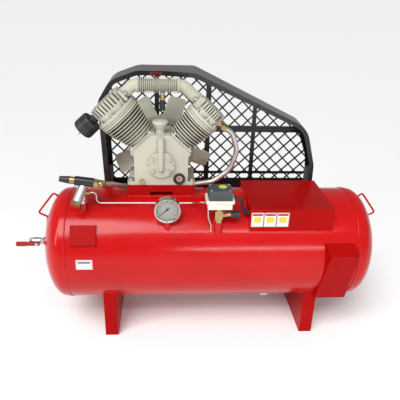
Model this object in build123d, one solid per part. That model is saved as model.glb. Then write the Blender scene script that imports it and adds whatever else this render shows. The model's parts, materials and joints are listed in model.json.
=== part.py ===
from build123d import *
import math
import os

# Twin-cylinder, two-stage, belt-driven air compressor on a horizontal receiver.
# Millimetres. X runs along the receiver, Y from the gauge side to the belt side, Z up.
# The origin is on the floor, midway between the four anchor holes.

os.makedirs("parts", exist_ok=True)

# Receiver
TANK_RADIUS = 225.0
TANK_AXIS_Z = 350.0
SHELL_HALF = 567.5
SHELL_WALL = 4.0
HEAD_FLANGE = 12.0
HEAD_DEPTH = 92.0
SEAM_BEAD = 3.0

# Feet, each a folded tray welded under the receiver
FOOT_INNER_X = 382.0
FOOT_OUTER_X = 434.0
FOOT_HALF_Y = 178.0
FOOT_WALL = 6.0
ANCHOR_X = 412.0
ANCHOR_Y = 130.0
ANCHOR_HOLE_RADIUS = 7.0

# Pump: a V of two cylinders on one crankpin
PUMP_X = -202.0
CRANK_Z = 705.0
V_HALF_ANGLE = 43.0
LOW_Y = 41.0
HIGH_Y = 19.0
THROW = 30.0
ROD_LENGTH = 175.0
DECK = 108.0
LOW_BORE_RADIUS = 47.5
HIGH_BORE_RADIUS = 32.0
LOW_TOP = 236.0
HIGH_TOP = 222.0
VALVE_PLATE = 8.0
CROWN = 3.5
RUNNING_CLEARANCE = 0.06

# Crankcase and its base flange
CASE_FRONT_Y = -37.0
CASE_BACK_Y = 112.0
BASE_Z = 619.0
BASE_HALF_X = 132.0
BASE_THICKNESS = 13.0
BASE_BOLT_X = 118.5
BASE_BOLT_FRONT_Y = -20.0
BASE_BOLT_BACK_Y = 94.0
CAVITY_RADIUS = 76.0
CAVITY_FRONT_Y = -24.0
CAVITY_BACK_Y = 98.0
SPIGOT_RADIUS = 46.0

# Front cover, with the rib that runs up from it, and the parts on the crankcase
COVER_RADIUS = 52.0
COVER_THICKNESS = 9.0
COVER_SPIGOT = 30.0
COVER_BOLTS = 40.0
COVER_BOLT_ANGLES = (35, 145, 215, 325)
RIB_RADIUS = 13.0
RIB_Y = -44.0
BREATHER = (-206.0, 6.0)
SIGHT = (-132.0, 646.0)
OIL_PLUG = (-277.0, 634.0)

# Shaft, flywheel and fan
SHAFT_RADIUS = 17.94
BEARING_BORE = 18.0
BEARING_OUTER = 36.0
FLYWHEEL_RADIUS = 135.0
FLYWHEEL_FRONT_Y = 146.0
FLYWHEEL_BACK_Y = 190.0
FAN_RADIUS = 215.0
FAN_BLADES = 8
FAN_CHORD = 86.0
FAN_FIRST_ANGLE = -19.0
FAN_PITCH = 26.0

# Platforms on the receiver
PLATFORM_SHEET = 5.0
PLATFORM_FRONT_Y = -39.0
PLATFORM_BACK_Y = 118.0
MOTOR_X = (133.0, 457.0)
MOTOR_Y = (-178.0, 113.0)
MOTOR_Z = 579.0
MOTOR_SHEET = 4.0
MOTOR_GLAND = (-140.0, 548.0)

# Blank label plates: one row on the motor platform, one more on the receiver
LABELS = 3
LABEL_LEFT = 139.0
LABEL_PITCH = 49.0
LABEL_WIDTH = 46.0
LABEL_Z = (506.0, 565.0)
LABEL_THICKNESS = 0.8
TANK_LABEL_X = (-520.0, -459.0)
TANK_LABEL_Z = (352.0, 391.0)

# Handles of bent rod on the receiver's ends
HANDLE_ROD = 4.0
HANDLE_UPPER_Z = 556.0
HANDLE_LOWER_Z = 463.0
HANDLE_TAIL_Z = 434.0

# Side cover
COVER_LEFT = 424.0
COVER_RIGHT = 547.0
COVER_SLANT = 17.0
COVER_SHEET = 4.0
COVER_FRONT_Y = -262.0
COVER_CORNER_Y = -195.0
COVER_OUTLINE = ((-200, 448), (COVER_FRONT_Y, 420), (-194, 186), (-122, 162), (-40, 300))
COVER_HOLLOW = ((-200, 444.5), (-257.5, 418), (-191.5, 190), (-122, 166), (-40, 300))

# Belt guard
GUARD_FRONT_Y = 136.0
GUARD_BACK_Y = 291.0
GUARD_SHEET = 2.0
GUARD_RIM = 18.0
GUARD_BOTTOM_Z = 462.0
GUARD_LEFT = -443.0
GUARD_RIGHT = 458.0
GUARD_BACK_RIGHT = 496.0
GUARD_BENDS = (70, 90, 110, 90, 60, 110, 90)
STAY_WIDTH = 28.0
STAY_Y = 182.0
BAR_DEPTH = 6.0
MESH_PITCH = 58.0
MESH_WIRE = 6.5
MESH_THICKNESS = 3.0
GRILLE_BORDER = 22.0
GRILLE_BARS = (
    ((-234, -214), (GUARD_BOTTOM_Z, 1024)),
    ((-11, 11), (GUARD_BOTTOM_Z, 1000)),
    ((198, 216), (GUARD_BOTTOM_Z, 900)),
    ((-20, 480), (743, 771)),
    ((-60, 490), (544, 555)),
    ((-450, 500), (GUARD_BOTTOM_Z, GUARD_BOTTOM_Z + 59)),
)

# Intercooler between the two heads
INTERCOOLER_Z = 994.0
INTERCOOLER_Y = 34.0
INTERCOOLER_X = (-286.0, -140.0)
INTERCOOLER_FINS = 20
INTERSTAGE_VALVE_X = -197.0

# Discharge pipe
DISCHARGE_RADIUS = 10.5
DISCHARGE_WALL = 2.0
DISCHARGE_PORT = HIGH_TOP + VALVE_PLATE + 30
DISCHARGE_BENDS = (50, 78, 78, 78, 120, 60, 80)

# Instruments
GAUGE_CENTRE = (-178.0, -166.0, 573.5)
GAUGE_RADIUS = 49.0
GAUGE_STEM_Y = GAUGE_CENTRE[1] + 4.0
GAUGE_SOCKET_Z = 519.0
SWITCH_X = 16.0
SWITCH_Y = -168.0
SWITCH_BASE_Z = 589.0
MANIFOLD_X = 14.0
CABLE_RADIUS = 5.5
GLAND_RADIUS = 9.5
OUTLET_X = -716.0
DRAIN_X = 250.0

# Check valve: a body lying along its bore, and a bonnet that slopes down from it
CHECK_VALVE_X = -498.0
CHECK_VALVE_Y = -104.0
VALVE_INLET = (-452.0, CHECK_VALVE_Y, 655.0)
VALVE_OUTLET = (-522.0, CHECK_VALVE_Y, 664.0)
BONNET_START = (CHECK_VALVE_X + 5, CHECK_VALVE_Y, 640.0)
BONNET_END = (-513.0, -146.0, 594.0)

BASE = (Align.CENTER, Align.CENTER, Align.MIN)


# ---------------------------------------------------------------- helpers
def save(name, *shapes):
    """Write every solid of the given shapes as one named piece."""
    solids = []
    for shape in shapes:
        solids.extend(shape.solids())
    export_step(solids[0] if len(solids) == 1 else Compound(solids), f"parts/{name}.step")


def block(x, y, z):
    """A box from three (low, high) pairs."""
    size = [high - low for low, high in (x, y, z)]
    middle = [(low + high) / 2 for low, high in (x, y, z)]
    return Pos(*middle) * Box(*size)


def bar(start, end, radius):
    """A round bar between two points."""
    start, end = Vector(*start), Vector(*end)
    return Plane(origin=start, z_dir=end - start) * Cylinder(radius, (end - start).length, align=BASE)


def tube(start, end, outer, inner):
    """A round tube between two points."""
    return bar(start, end, outer) - bar(start, end, inner)


def hexagon(start, end, across_flats):
    """A hexagonal bar between two points."""
    start, end = Vector(*start), Vector(*end)
    flats = RegularPolygon(across_flats / 2, 6, major_radius=False)
    section = Plane(origin=start, z_dir=end - start) * flats
    return extrude(section, (end - start).length, dir=(end - start).normalized())


def cone(start, end, start_radius, end_radius):
    """A round taper between two points."""
    start, end = Vector(*start), Vector(*end)
    length = (end - start).length
    return Plane(origin=start, z_dir=end - start) * Cone(start_radius, end_radius, length, align=BASE)


def bent_bar(points, bends, radius):
    """A round bar along straight runs joined by tangent arcs."""
    path = FilletPolyline(*points, radius=bends)
    section = Plane(origin=path @ 0, z_dir=path % 0) * Circle(radius)
    return sweep(section, path=path)


def plate_xz(sketch, low_y, high_y):
    """A plate cut to an outline drawn in X and Z."""
    return extrude(Plane.XZ.offset(-high_y) * sketch, high_y - low_y)


def about_x(profile):
    """A solid turned about the receiver's axis from a profile in X and radius."""
    return Pos(0, 0, TANK_AXIS_Z) * revolve(profile, Axis.X, 360)


def cylinder_frame(side, y):
    """The frame of one cylinder: z along its axis from the crank, side -1 for low, +1 for high pressure."""
    angle = math.radians(V_HALF_ANGLE)
    outwards = (side * math.sin(angle), 0, math.cos(angle))
    across = (math.cos(angle), 0, -side * math.sin(angle))
    return Plane(origin=(PUMP_X, y, CRANK_Z), x_dir=across, z_dir=outwards)


LOW_FRAME = cylinder_frame(-1, LOW_Y)
HIGH_FRAME = cylinder_frame(1, HIGH_Y)


def at(frame, across, y, out):
    """A point given in a cylinder's frame, in the part's frame."""
    return tuple(frame.from_local_coords(Vector(across, y, out)))


def head_surface_x(z):
    """Distance from the middle to the dished head's outer surface, in the axis plane."""
    rise = (z - TANK_AXIS_Z) / TANK_RADIUS
    return SHELL_HALF + HEAD_FLANGE + HEAD_DEPTH * math.sqrt(1 - rise**2)


def head_profile(radius, depth):
    """The half outline of a dished end, filled, from the seam outwards."""
    start = SHELL_HALF
    knuckle = SHELL_HALF + HEAD_FLANGE
    curve = EllipticalCenterArc((knuckle, 0), depth, radius, start_angle=0, arc_size=90)
    flange = Line((knuckle, radius), (start, radius))
    end = Line((start, radius), (start, 0))
    base = Line((start, 0), (knuckle + depth, 0))
    return make_face(curve + flange + end + base)


def tank_envelope():
    """The receiver's outer form, filled, for fitting everything that is welded to it."""
    barrel = bar((-SHELL_HALF, 0, TANK_AXIS_Z), (SHELL_HALF, 0, TANK_AXIS_Z), TANK_RADIUS)
    end = about_x(head_profile(TANK_RADIUS, HEAD_DEPTH))
    return barrel + end + mirror(end, Plane.YZ)


ENVELOPE = tank_envelope()

# Each port: foot of the weld socket, its mouth, outer radius and bore
PORTS = {
    "gauge": ((GAUGE_CENTRE[0], GAUGE_STEM_Y, 440), (GAUGE_CENTRE[0], GAUGE_STEM_Y, GAUGE_SOCKET_Z), 13, 7),
    "switch": ((MANIFOLD_X, -172, 440), (MANIFOLD_X, -172, 526), 17, 9),
    "check": ((CHECK_VALVE_X, CHECK_VALVE_Y, 520), (CHECK_VALVE_X, CHECK_VALVE_Y, 572), 15, 9),
    "outlet": ((-640, 0, TANK_AXIS_Z), (-690, 0, TANK_AXIS_Z), 17, 10),
    "drain": ((DRAIN_X, 0, 150), (DRAIN_X, 0, 112), 15, 8),
}


# ---------------------------------------------------------------- receiver
def make_receiver():
    half = SHELL_HALF
    shell = tube((-half, 0, TANK_AXIS_Z), (half, 0, TANK_AXIS_Z), TANK_RADIUS, TANK_RADIUS - SHELL_WALL)
    bead = Rot(0, 90, 0) * Torus(TANK_RADIUS, SEAM_BEAD)
    for side in (-1, 1):
        shell += Pos(side * (half - SEAM_BEAD - 1), 0, TANK_AXIS_Z) * bead
    outer = head_profile(TANK_RADIUS, HEAD_DEPTH)
    inner = head_profile(TANK_RADIUS - SHELL_WALL, HEAD_DEPTH - SHELL_WALL)
    right = about_x(outer) - about_x(inner)
    left = mirror(right, Plane.YZ)
    sockets = []
    for name, (foot, mouth, outer_radius, bore) in PORTS.items():
        drill = bar(foot, mouth, bore)
        if name == "outlet":
            left -= drill
        else:
            shell -= drill
        sockets.append(tube(foot, mouth, outer_radius, bore) - ENVELOPE)
    save("tank_shell", shell)
    save("tank_heads", left, right)
    save("tank_bosses", *sockets)


def make_feet():
    tray = block((FOOT_INNER_X, FOOT_OUTER_X), (-FOOT_HALF_Y, FOOT_HALF_Y), (0, 300))
    inside = FOOT_HALF_Y - FOOT_WALL
    tray -= block((FOOT_INNER_X + FOOT_WALL, FOOT_OUTER_X + 1), (-inside, inside), (FOOT_WALL, 301))
    for y in (-ANCHOR_Y, ANCHOR_Y):
        tray -= bar((ANCHOR_X, y, -1), (ANCHOR_X, y, FOOT_WALL + 1), ANCHOR_HOLE_RADIUS)
    foot = tray - ENVELOPE
    save("foot_right", foot)
    save("foot_left", mirror(foot, Plane.YZ))


def make_handles():
    gap = HANDLE_ROD + 0.5
    upper, lower, tail = HANDLE_UPPER_Z, HANDLE_LOWER_Z, HANDLE_TAIL_Z
    points = [
        (head_surface_x(upper) - 4, 0, upper - 2),
        (632, 0, 568),
        (700, 0, 481),
        (head_surface_x(lower) + gap, 0, lower),
        (head_surface_x(tail) + gap, 0, tail),
    ]
    handle = bent_bar(points, [8, 8, 9], HANDLE_ROD)
    weld = bar((head_surface_x(tail) - 6, 0, tail + 8), (head_surface_x(tail) + gap, 0, tail + 8), 3.2)
    right = handle + weld - ENVELOPE
    save("handle_right", right)
    save("handle_left", mirror(right, Plane.YZ))


def make_plates():
    middle = math.radians(56)
    frame = Plane(
        origin=(-492.5, -TANK_RADIUS * math.sin(middle), TANK_AXIS_Z + TANK_RADIUS * math.cos(middle)),
        x_dir=(1, 0, 0),
        z_dir=(0, -math.sin(middle), math.cos(middle)),
    )
    cover = frame * Pos(0, 0, -4) * Box(96, 76, 26)
    hollow = frame * Pos(0, 0, -6) * Box(90, 70, 24)
    save("nameplate_bracket", cover - hollow - ENVELOPE)

    start, end = (TANK_LABEL_X[0], 0, TANK_AXIS_Z), (TANK_LABEL_X[1], 0, TANK_AXIS_Z)
    band = tube(start, end, TANK_RADIUS + LABEL_THICKNESS, TANK_RADIUS)
    labels = [band & block(TANK_LABEL_X, (-240, 0), TANK_LABEL_Z)]
    front = MOTOR_Y[0]
    for index in range(LABELS):
        left = LABEL_LEFT + LABEL_PITCH * index
        labels.append(block((left, left + LABEL_WIDTH), (front - LABEL_THICKNESS, front), LABEL_Z))
    save("label_plates", *labels)


def make_platforms():
    low, high = PUMP_X - BASE_HALF_X, PUMP_X + BASE_HALF_X
    top = BASE_Z - PLATFORM_SHEET
    channel = block((low, high), (PLATFORM_FRONT_Y, PLATFORM_BACK_Y), (480, BASE_Z))
    inside_y = (PLATFORM_FRONT_Y + PLATFORM_SHEET, PLATFORM_BACK_Y - PLATFORM_SHEET)
    channel -= block((low - 1, high + 1), inside_y, (479, top))
    notch = make_face(Polyline((-254, 560), (-243, 590), (-160, 590), (-149, 560), close=True))
    channel -= plate_xz(notch, PLATFORM_FRONT_Y - 1, PLATFORM_FRONT_Y + PLATFORM_SHEET + 1)
    for x, y in base_bolt_places():
        channel -= bar((x, y, top - 1), (x, y, BASE_Z + 1), 6.5)
    save("pump_platform", channel - ENVELOPE)

    box = block(MOTOR_X, MOTOR_Y, (470, MOTOR_Z))
    inner_x = (MOTOR_X[0] + MOTOR_SHEET, MOTOR_X[1] - MOTOR_SHEET)
    inner_y = (MOTOR_Y[0] + MOTOR_SHEET, MOTOR_Y[1] - MOTOR_SHEET)
    box -= block(inner_x, inner_y, (469, MOTOR_Z - MOTOR_SHEET))
    box -= bar((MOTOR_X[0] - 1, *MOTOR_GLAND), (MOTOR_X[0] + 5, *MOTOR_GLAND), 6)
    save("motor_platform", box - ENVELOPE)


def base_bolt_places():
    return [
        (PUMP_X + side * BASE_BOLT_X, y)
        for side in (-1, 1)
        for y in (BASE_BOLT_FRONT_Y, BASE_BOLT_BACK_Y)
    ]


def make_side_cover():
    """A bent sheet cover on the lower right, closed all round and fitted over the foot's edge."""
    outer = make_face(Polyline(*COVER_OUTLINE, close=True))
    inner = make_face(Polyline(*COVER_HOLLOW, close=True))
    section = Plane(origin=(COVER_LEFT, 0, 0), x_dir=(0, 1, 0), z_dir=(1, 0, 0))
    width = COVER_RIGHT - COVER_LEFT
    cover = extrude(section * outer, width) & side_cover_plan(0.0)
    hollow = extrude(section * inner, width) & side_cover_plan(COVER_SHEET)
    gap = 0.5
    foot_edge = block((300, FOOT_OUTER_X + gap), (-FOOT_HALF_Y - gap, 200), (0, 300))
    reach = gap + COVER_SHEET
    wall = block((300, FOOT_OUTER_X + reach), (-FOOT_HALF_Y - reach, 200), (0, 300 + COVER_SHEET))
    save("drain_cover", cover - (hollow - wall) - foot_edge - ENVELOPE)


def side_cover_plan(inset):
    """The side cover seen from above, its left wall slanting outwards, as a tall prism."""
    left, right = COVER_LEFT + inset, COVER_RIGHT - inset
    plan = [
        (left, COVER_CORNER_Y),
        (left + COVER_SLANT, COVER_FRONT_Y),
        (right, COVER_FRONT_Y),
        (right, 0),
        (left, 0),
    ]
    return extrude(make_face(Polyline(*plan, close=True)), 600)


# ---------------------------------------------------------------- pump castings
def case_outline():
    """The crankcase seen from the gauge side, with a sloping deck under each cylinder."""
    deck_low = at(HIGH_FRAME, 42, 0, DECK)
    deck_high = at(HIGH_FRAME, -51, 0, DECK)
    half = [
        (103, BASE_Z + BASE_THICKNESS),
        (104, CRANK_Z + 15),
        (deck_low[0] - PUMP_X, deck_low[2]),
        (deck_high[0] - PUMP_X, deck_high[2]),
    ]
    right = [(PUMP_X + x, z) for x, z in half]
    left = [(PUMP_X - x, z) for x, z in reversed(half)]
    return right + left


def make_crankcase():
    low, high = PUMP_X - BASE_HALF_X, PUMP_X + BASE_HALF_X
    case = plate_xz(make_face(Polyline(*case_outline(), close=True)), CASE_FRONT_Y, CASE_BACK_Y)
    flange = block((low, high), (CASE_FRONT_Y, CASE_BACK_Y), (BASE_Z, BASE_Z + BASE_THICKNESS))
    case += fillet(flange.edges().filter_by(Axis.Z), 12)
    deck_top = at(HIGH_FRAME, -51, 0, DECK)[2]
    case += cone((*BREATHER, deck_top - 4), (*BREATHER, deck_top + 14), 20, 16)
    for frame, width in ((LOW_FRAME, 62), (HIGH_FRAME, 56)):
        pad = frame * Pos(0, 0, DECK - 16) * Box(2 * width, 2 * width, 32)
        case += pad - frame * Pos(0, 0, DECK + 50) * Box(300, 300, 100)
    rib_low = CRANK_Z + COVER_RADIUS + 1
    rib = bar((PUMP_X, RIB_Y, rib_low), (PUMP_X, RIB_Y, deck_top - 6), RIB_RADIUS)
    case += rib & block((low, high), (-80, CASE_FRONT_Y + 1), (rib_low, deck_top))
    case -= bar((PUMP_X, CAVITY_FRONT_Y, CRANK_Z), (PUMP_X, CAVITY_BACK_Y, CRANK_Z), CAVITY_RADIUS)
    case -= LOW_FRAME * Cylinder(LOW_BORE_RADIUS + 8, DECK + 5, align=BASE)
    case -= HIGH_FRAME * Cylinder(HIGH_BORE_RADIUS + 8, DECK + 5, align=BASE)
    case -= bar((PUMP_X, CASE_FRONT_Y - 1, CRANK_Z), (PUMP_X, CAVITY_FRONT_Y + 1, CRANK_Z), COVER_SPIGOT)
    for x, z in cover_bolt_places():
        case -= bar((x, CASE_FRONT_Y - 1, z), (x, CASE_FRONT_Y + 9, z), 3)
    case -= bar((PUMP_X, CAVITY_BACK_Y - 1, CRANK_Z), (PUMP_X, CASE_BACK_Y + 1, CRANK_Z), SPIGOT_RADIUS)
    case -= bar((*BREATHER, deck_top - 50), (*BREATHER, deck_top + 20), 9)
    for (x, z), depth, radius in ((SIGHT, 9, 16), (OIL_PLUG, 14, 6)):
        case -= bar((x, CASE_FRONT_Y - 1, z), (x, CASE_FRONT_Y + depth, z), radius)
    for x, y in base_bolt_places():
        case -= bar((x, y, BASE_Z - 1), (x, y, BASE_Z + BASE_THICKNESS + 1), 6.5)
    save("crankcase", case)
    return deck_top


def cover_bolt_places():
    angles = [math.radians(angle) for angle in COVER_BOLT_ANGLES]
    return [(PUMP_X + COVER_BOLTS * math.cos(a), CRANK_Z + COVER_BOLTS * math.sin(a)) for a in angles]


def make_covers():
    front = CASE_FRONT_Y
    cover = bar((PUMP_X, front - COVER_THICKNESS, CRANK_Z), (PUMP_X, front, CRANK_Z), COVER_RADIUS)
    cover += bar((PUMP_X, front, CRANK_Z), (PUMP_X, front + 8, CRANK_Z), COVER_SPIGOT - 0.1)
    rib = bar((PUMP_X, RIB_Y, CRANK_Z - 18), (PUMP_X, RIB_Y, CRANK_Z + COVER_RADIUS + 0.5), RIB_RADIUS)
    rib += Pos(PUMP_X, RIB_Y, CRANK_Z - 18) * Sphere(RIB_RADIUS)
    rib -= block((PUMP_X - 20, PUMP_X + 20), (front, front + 40), (CRANK_Z - 60, CRANK_Z + 80))
    cover += rib
    for x, z in cover_bolt_places():
        cover += bar((x, front - COVER_THICKNESS - 4, z), (x, front - 1, z), 8)
        cover -= bar((x, front - 30, z), (x, front + 1, z), 3)
    for side in (-1, 1):
        x = PUMP_X + side * 46.7
        cover -= bar((x, front - COVER_THICKNESS - 1, CRANK_Z), (x, front - 3, CRANK_Z), 2.5)
    save("front_cover", cover)

    back = CASE_BACK_Y
    housing = bar((PUMP_X, back, CRANK_Z), (PUMP_X, back + 8, CRANK_Z), 62)
    housing += bar((PUMP_X, 74, CRANK_Z), (PUMP_X, back + 18, CRANK_Z), SPIGOT_RADIUS)
    housing -= bar((PUMP_X, 70, CRANK_Z), (PUMP_X, back + 14, CRANK_Z), BEARING_OUTER)
    housing -= bar((PUMP_X, 70, CRANK_Z), (PUMP_X, back + 30, CRANK_Z), SHAFT_RADIUS + 1)
    save("rear_bearing_housing", housing)
    bearings = []
    for start in (76, 106):
        ring = tube((PUMP_X, start, CRANK_Z), (PUMP_X, start + 18, CRANK_Z), BEARING_OUTER, BEARING_BORE)
        bearings.append(ring)
    save("main_bearings", *bearings)


def make_cylinder(name, frame, bore, top, fins, low_radius, high_radius, flange):
    """A finned barrel: its fins grow from the deck to the head flange."""
    wall = 8.0
    barrel = frame * Pos(0, 0, DECK - 8) * Cylinder(bore + wall, top - DECK + 8, align=BASE)
    barrel += frame * Pos(0, 0, DECK) * Box(2 * flange, 2 * flange, 10, align=BASE)
    first, last = DECK + 17, top - 16
    for index in range(fins):
        share = index / (fins - 1)
        radius = low_radius + (high_radius - low_radius) * share
        height = first + (last - first) * share
        barrel += frame * Pos(0, 0, height) * Cylinder(radius, 3.2, align=BASE)
    barrel += frame * Pos(0, 0, top - 9) * Cylinder(high_radius, 9, align=BASE)
    barrel -= frame * Pos(0, 0, DECK - 20) * Cylinder(bore, top, align=BASE)
    save(name, barrel)


HEADS = {
    "low_pressure": {
        "frame": LOW_FRAME,
        "top": LOW_TOP,
        "radius": 86.0,
        "body": 66.0,
        "height": 80.0,
        "slots": 8,
        "slot": 5.5,
        "core": 26.0,
    },
    "high_pressure": {
        "frame": HIGH_FRAME,
        "top": HIGH_TOP,
        "radius": 69.0,
        "body": 55.0,
        "height": 72.0,
        "slots": 9,
        "slot": 4.6,
        "core": 12.0,
    },
}


def make_head(name, spec):
    """A round head with parallel cooling slots over its outer end and open chambers inside."""
    frame, body = spec["frame"], spec["body"]
    base = spec["top"] + VALVE_PLATE
    end = spec["top"] + spec["height"]
    head = frame * Pos(0, 0, base) * Cylinder(spec["radius"], 13, align=BASE)
    head += frame * Pos(0, 0, base + 13) * Cylinder(body + 6, end - base - 13, align=BASE)
    keep = frame * Pos(0, 0, base) * Box(2 * body, 2 * body, 400, align=BASE)
    head &= keep + frame * Pos(0, 0, base) * Cylinder(spec["radius"], 13, align=BASE)
    span = 2 * body - 16
    pitch = span / spec["slots"]
    for index in range(spec["slots"]):
        x = -span / 2 + pitch * (index + 0.5)
        slot = frame * Pos(x, 0, base + 34) * Box(spec["slot"], 4 * body, 200, align=BASE)
        core = frame * Pos(x, 0, base + 34) * Box(spec["slot"] + 1, body, spec["core"], align=BASE)
        head -= slot - core
    for side in (-1, 1):
        chamber = frame * Pos(side * body * 0.42, 0, base - 1)
        head -= chamber * Box(body * 0.6, body, 24, align=BASE)
    for x, y in head_bolt_places(spec):
        head -= frame * Pos(x, y, base - 1) * Cylinder(4.6, 20, align=BASE)
        head -= frame * Pos(x, y, base + 13) * Cylinder(9, 200, align=BASE)
    plate = frame * Pos(0, 0, spec["top"]) * Cylinder(spec["radius"], VALVE_PLATE, align=BASE)
    for side in (-1, 1):
        for turn in range(3):
            hole = frame * Pos(side * body * 0.42, (turn - 1) * 14, spec["top"] - 1)
            plate -= hole * Cylinder(4, VALVE_PLATE + 2, align=BASE)
    for x, y in head_bolt_places(spec):
        plate -= frame * Pos(x, y, spec["top"] - 1) * Cylinder(4.6, VALVE_PLATE + 2, align=BASE)
    save(f"{name}_head", head)
    return plate


def head_bolt_places(spec):
    """Six places round the head flange, clear of the finned body."""
    reach = spec["radius"] - 7
    angles = (45, 90, 135, 225, 270, 315)
    return [(reach * math.cos(math.radians(a)), reach * math.sin(math.radians(a))) for a in angles]


def make_bolts():
    heads = []
    for spec in HEADS.values():
        frame, base = spec["frame"], spec["top"] + VALVE_PLATE
        for x, y in head_bolt_places(spec):
            shank = bar(at(frame, x, y, spec["top"] + 0.5), at(frame, x, y, base + 13), 4.5)
            cap = hexagon(at(frame, x, y, base + 13), at(frame, x, y, base + 21), 12)
            heads.append(shank + cap)
    save("head_bolts", *heads)

    bolts = []
    for x, y in base_bolt_places():
        shank = bar((x, y, BASE_Z - PLATFORM_SHEET - 14), (x, y, BASE_Z + BASE_THICKNESS), 6)
        washer_z = BASE_Z + BASE_THICKNESS
        washer = bar((x, y, washer_z), (x, y, washer_z + 2.5), 11)
        cap = hexagon((x, y, washer_z + 2.5), (x, y, washer_z + 10), 18)
        nut_z = BASE_Z - PLATFORM_SHEET
        nut = hexagon((x, y, nut_z), (x, y, nut_z - 10), 18)
        bolts.append(shank + washer + cap + nut)
    front = CASE_FRONT_Y - COVER_THICKNESS - 4
    for x, z in cover_bolt_places():
        shank = bar((x, front, z), (x, CASE_FRONT_Y + 8, z), 3)
        bolts.append(hexagon((x, front - 4, z), (x, front, z), 10) + shank)
    save("pump_bolts", *bolts)


# ---------------------------------------------------------------- running gear
def make_crankshaft():
    web = Circle(29) + Pos(0, THROW) * Circle(24) + Pos(0, THROW / 2) * Rectangle(46, THROW)
    weight = Circle(63) & (Pos(0, -40) * Rectangle(140, 60))
    crank = plate_xz(Pos(PUMP_X, CRANK_Z) * (web + weight), 54, 68)
    crank += bar((PUMP_X, 68, CRANK_Z), (PUMP_X, 74, CRANK_Z), 24)
    crank += bar((PUMP_X, 70, CRANK_Z), (PUMP_X, 200, CRANK_Z), SHAFT_RADIUS)
    save("crankshaft", crank)
    end = hexagon((PUMP_X, 204, CRANK_Z), (PUMP_X, 214, CRANK_Z), 24)
    washer = bar((PUMP_X, 200, CRANK_Z), (PUMP_X, 204, CRANK_Z), 26)
    return end + washer


def make_flywheel():
    front, back = FLYWHEEL_FRONT_Y, FLYWHEEL_BACK_Y
    rim = tube((PUMP_X, front, CRANK_Z), (PUMP_X, back, CRANK_Z), FLYWHEEL_RADIUS, FLYWHEEL_RADIUS - 22)
    groove_section = make_face(
        Polyline(
            (FLYWHEEL_RADIUS - 13, -4),
            (FLYWHEEL_RADIUS + 1, -9),
            (FLYWHEEL_RADIUS + 1, 9),
            (FLYWHEEL_RADIUS - 13, 4),
            close=True,
        )
    )
    groove = revolve(groove_section, Axis.Y, 360)
    for y in (front + 12, back - 12):
        rim -= Pos(PUMP_X, y, CRANK_Z) * groove
    disc = Circle(FLYWHEEL_RADIUS - 21) - Circle(SHAFT_RADIUS)
    for index in range(5):
        window = Rot(0, 0, 36 + 72 * index) * Pos(73, 0) * Ellipse(26, 30)
        disc -= window
    wheel = rim + plate_xz(Pos(PUMP_X, CRANK_Z) * disc, front + 14, front + 24)
    hub = tube((PUMP_X, front - 6, CRANK_Z), (PUMP_X, back, CRANK_Z), 34, SHAFT_RADIUS)
    save("flywheel", wheel + hub)


def make_fan(retainer):
    back = FLYWHEEL_BACK_Y
    fan = tube((PUMP_X, back, CRANK_Z), (PUMP_X, back + 10, CRANK_Z), 64, SHAFT_RADIUS)
    fan += tube((PUMP_X, back + 5, CRANK_Z), (PUMP_X, back + 36, CRANK_Z), 64, 58)
    root = 60
    from_root = (Align.MIN, Align.CENTER, Align.CENTER)
    blade = Pos(root, 0, 0) * Box(FAN_RADIUS - root, 3, FAN_CHORD, align=from_root)
    blade = fillet(blade.edges().filter_by(Axis.Y).group_by(Axis.X)[-1], 16)
    for index in range(FAN_BLADES):
        turn = FAN_FIRST_ANGLE + 360 / FAN_BLADES * index
        fan += Pos(PUMP_X, back + 24, CRANK_Z) * Rot(0, -turn, 0) * Rot(FAN_PITCH, 0, 0) * blade
    save("cooling_fan", fan, retainer)


def rest_geometry(side):
    """Crankpin and wrist-pin places in a cylinder's frame, with the crankpin straight up."""
    angle = math.radians(V_HALF_ANGLE)
    pin_out = THROW * math.cos(angle)
    pin_across = -side * THROW * math.sin(angle)
    wrist_out = pin_out + math.sqrt(ROD_LENGTH**2 - pin_across**2)
    return pin_across, pin_out, wrist_out


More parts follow.
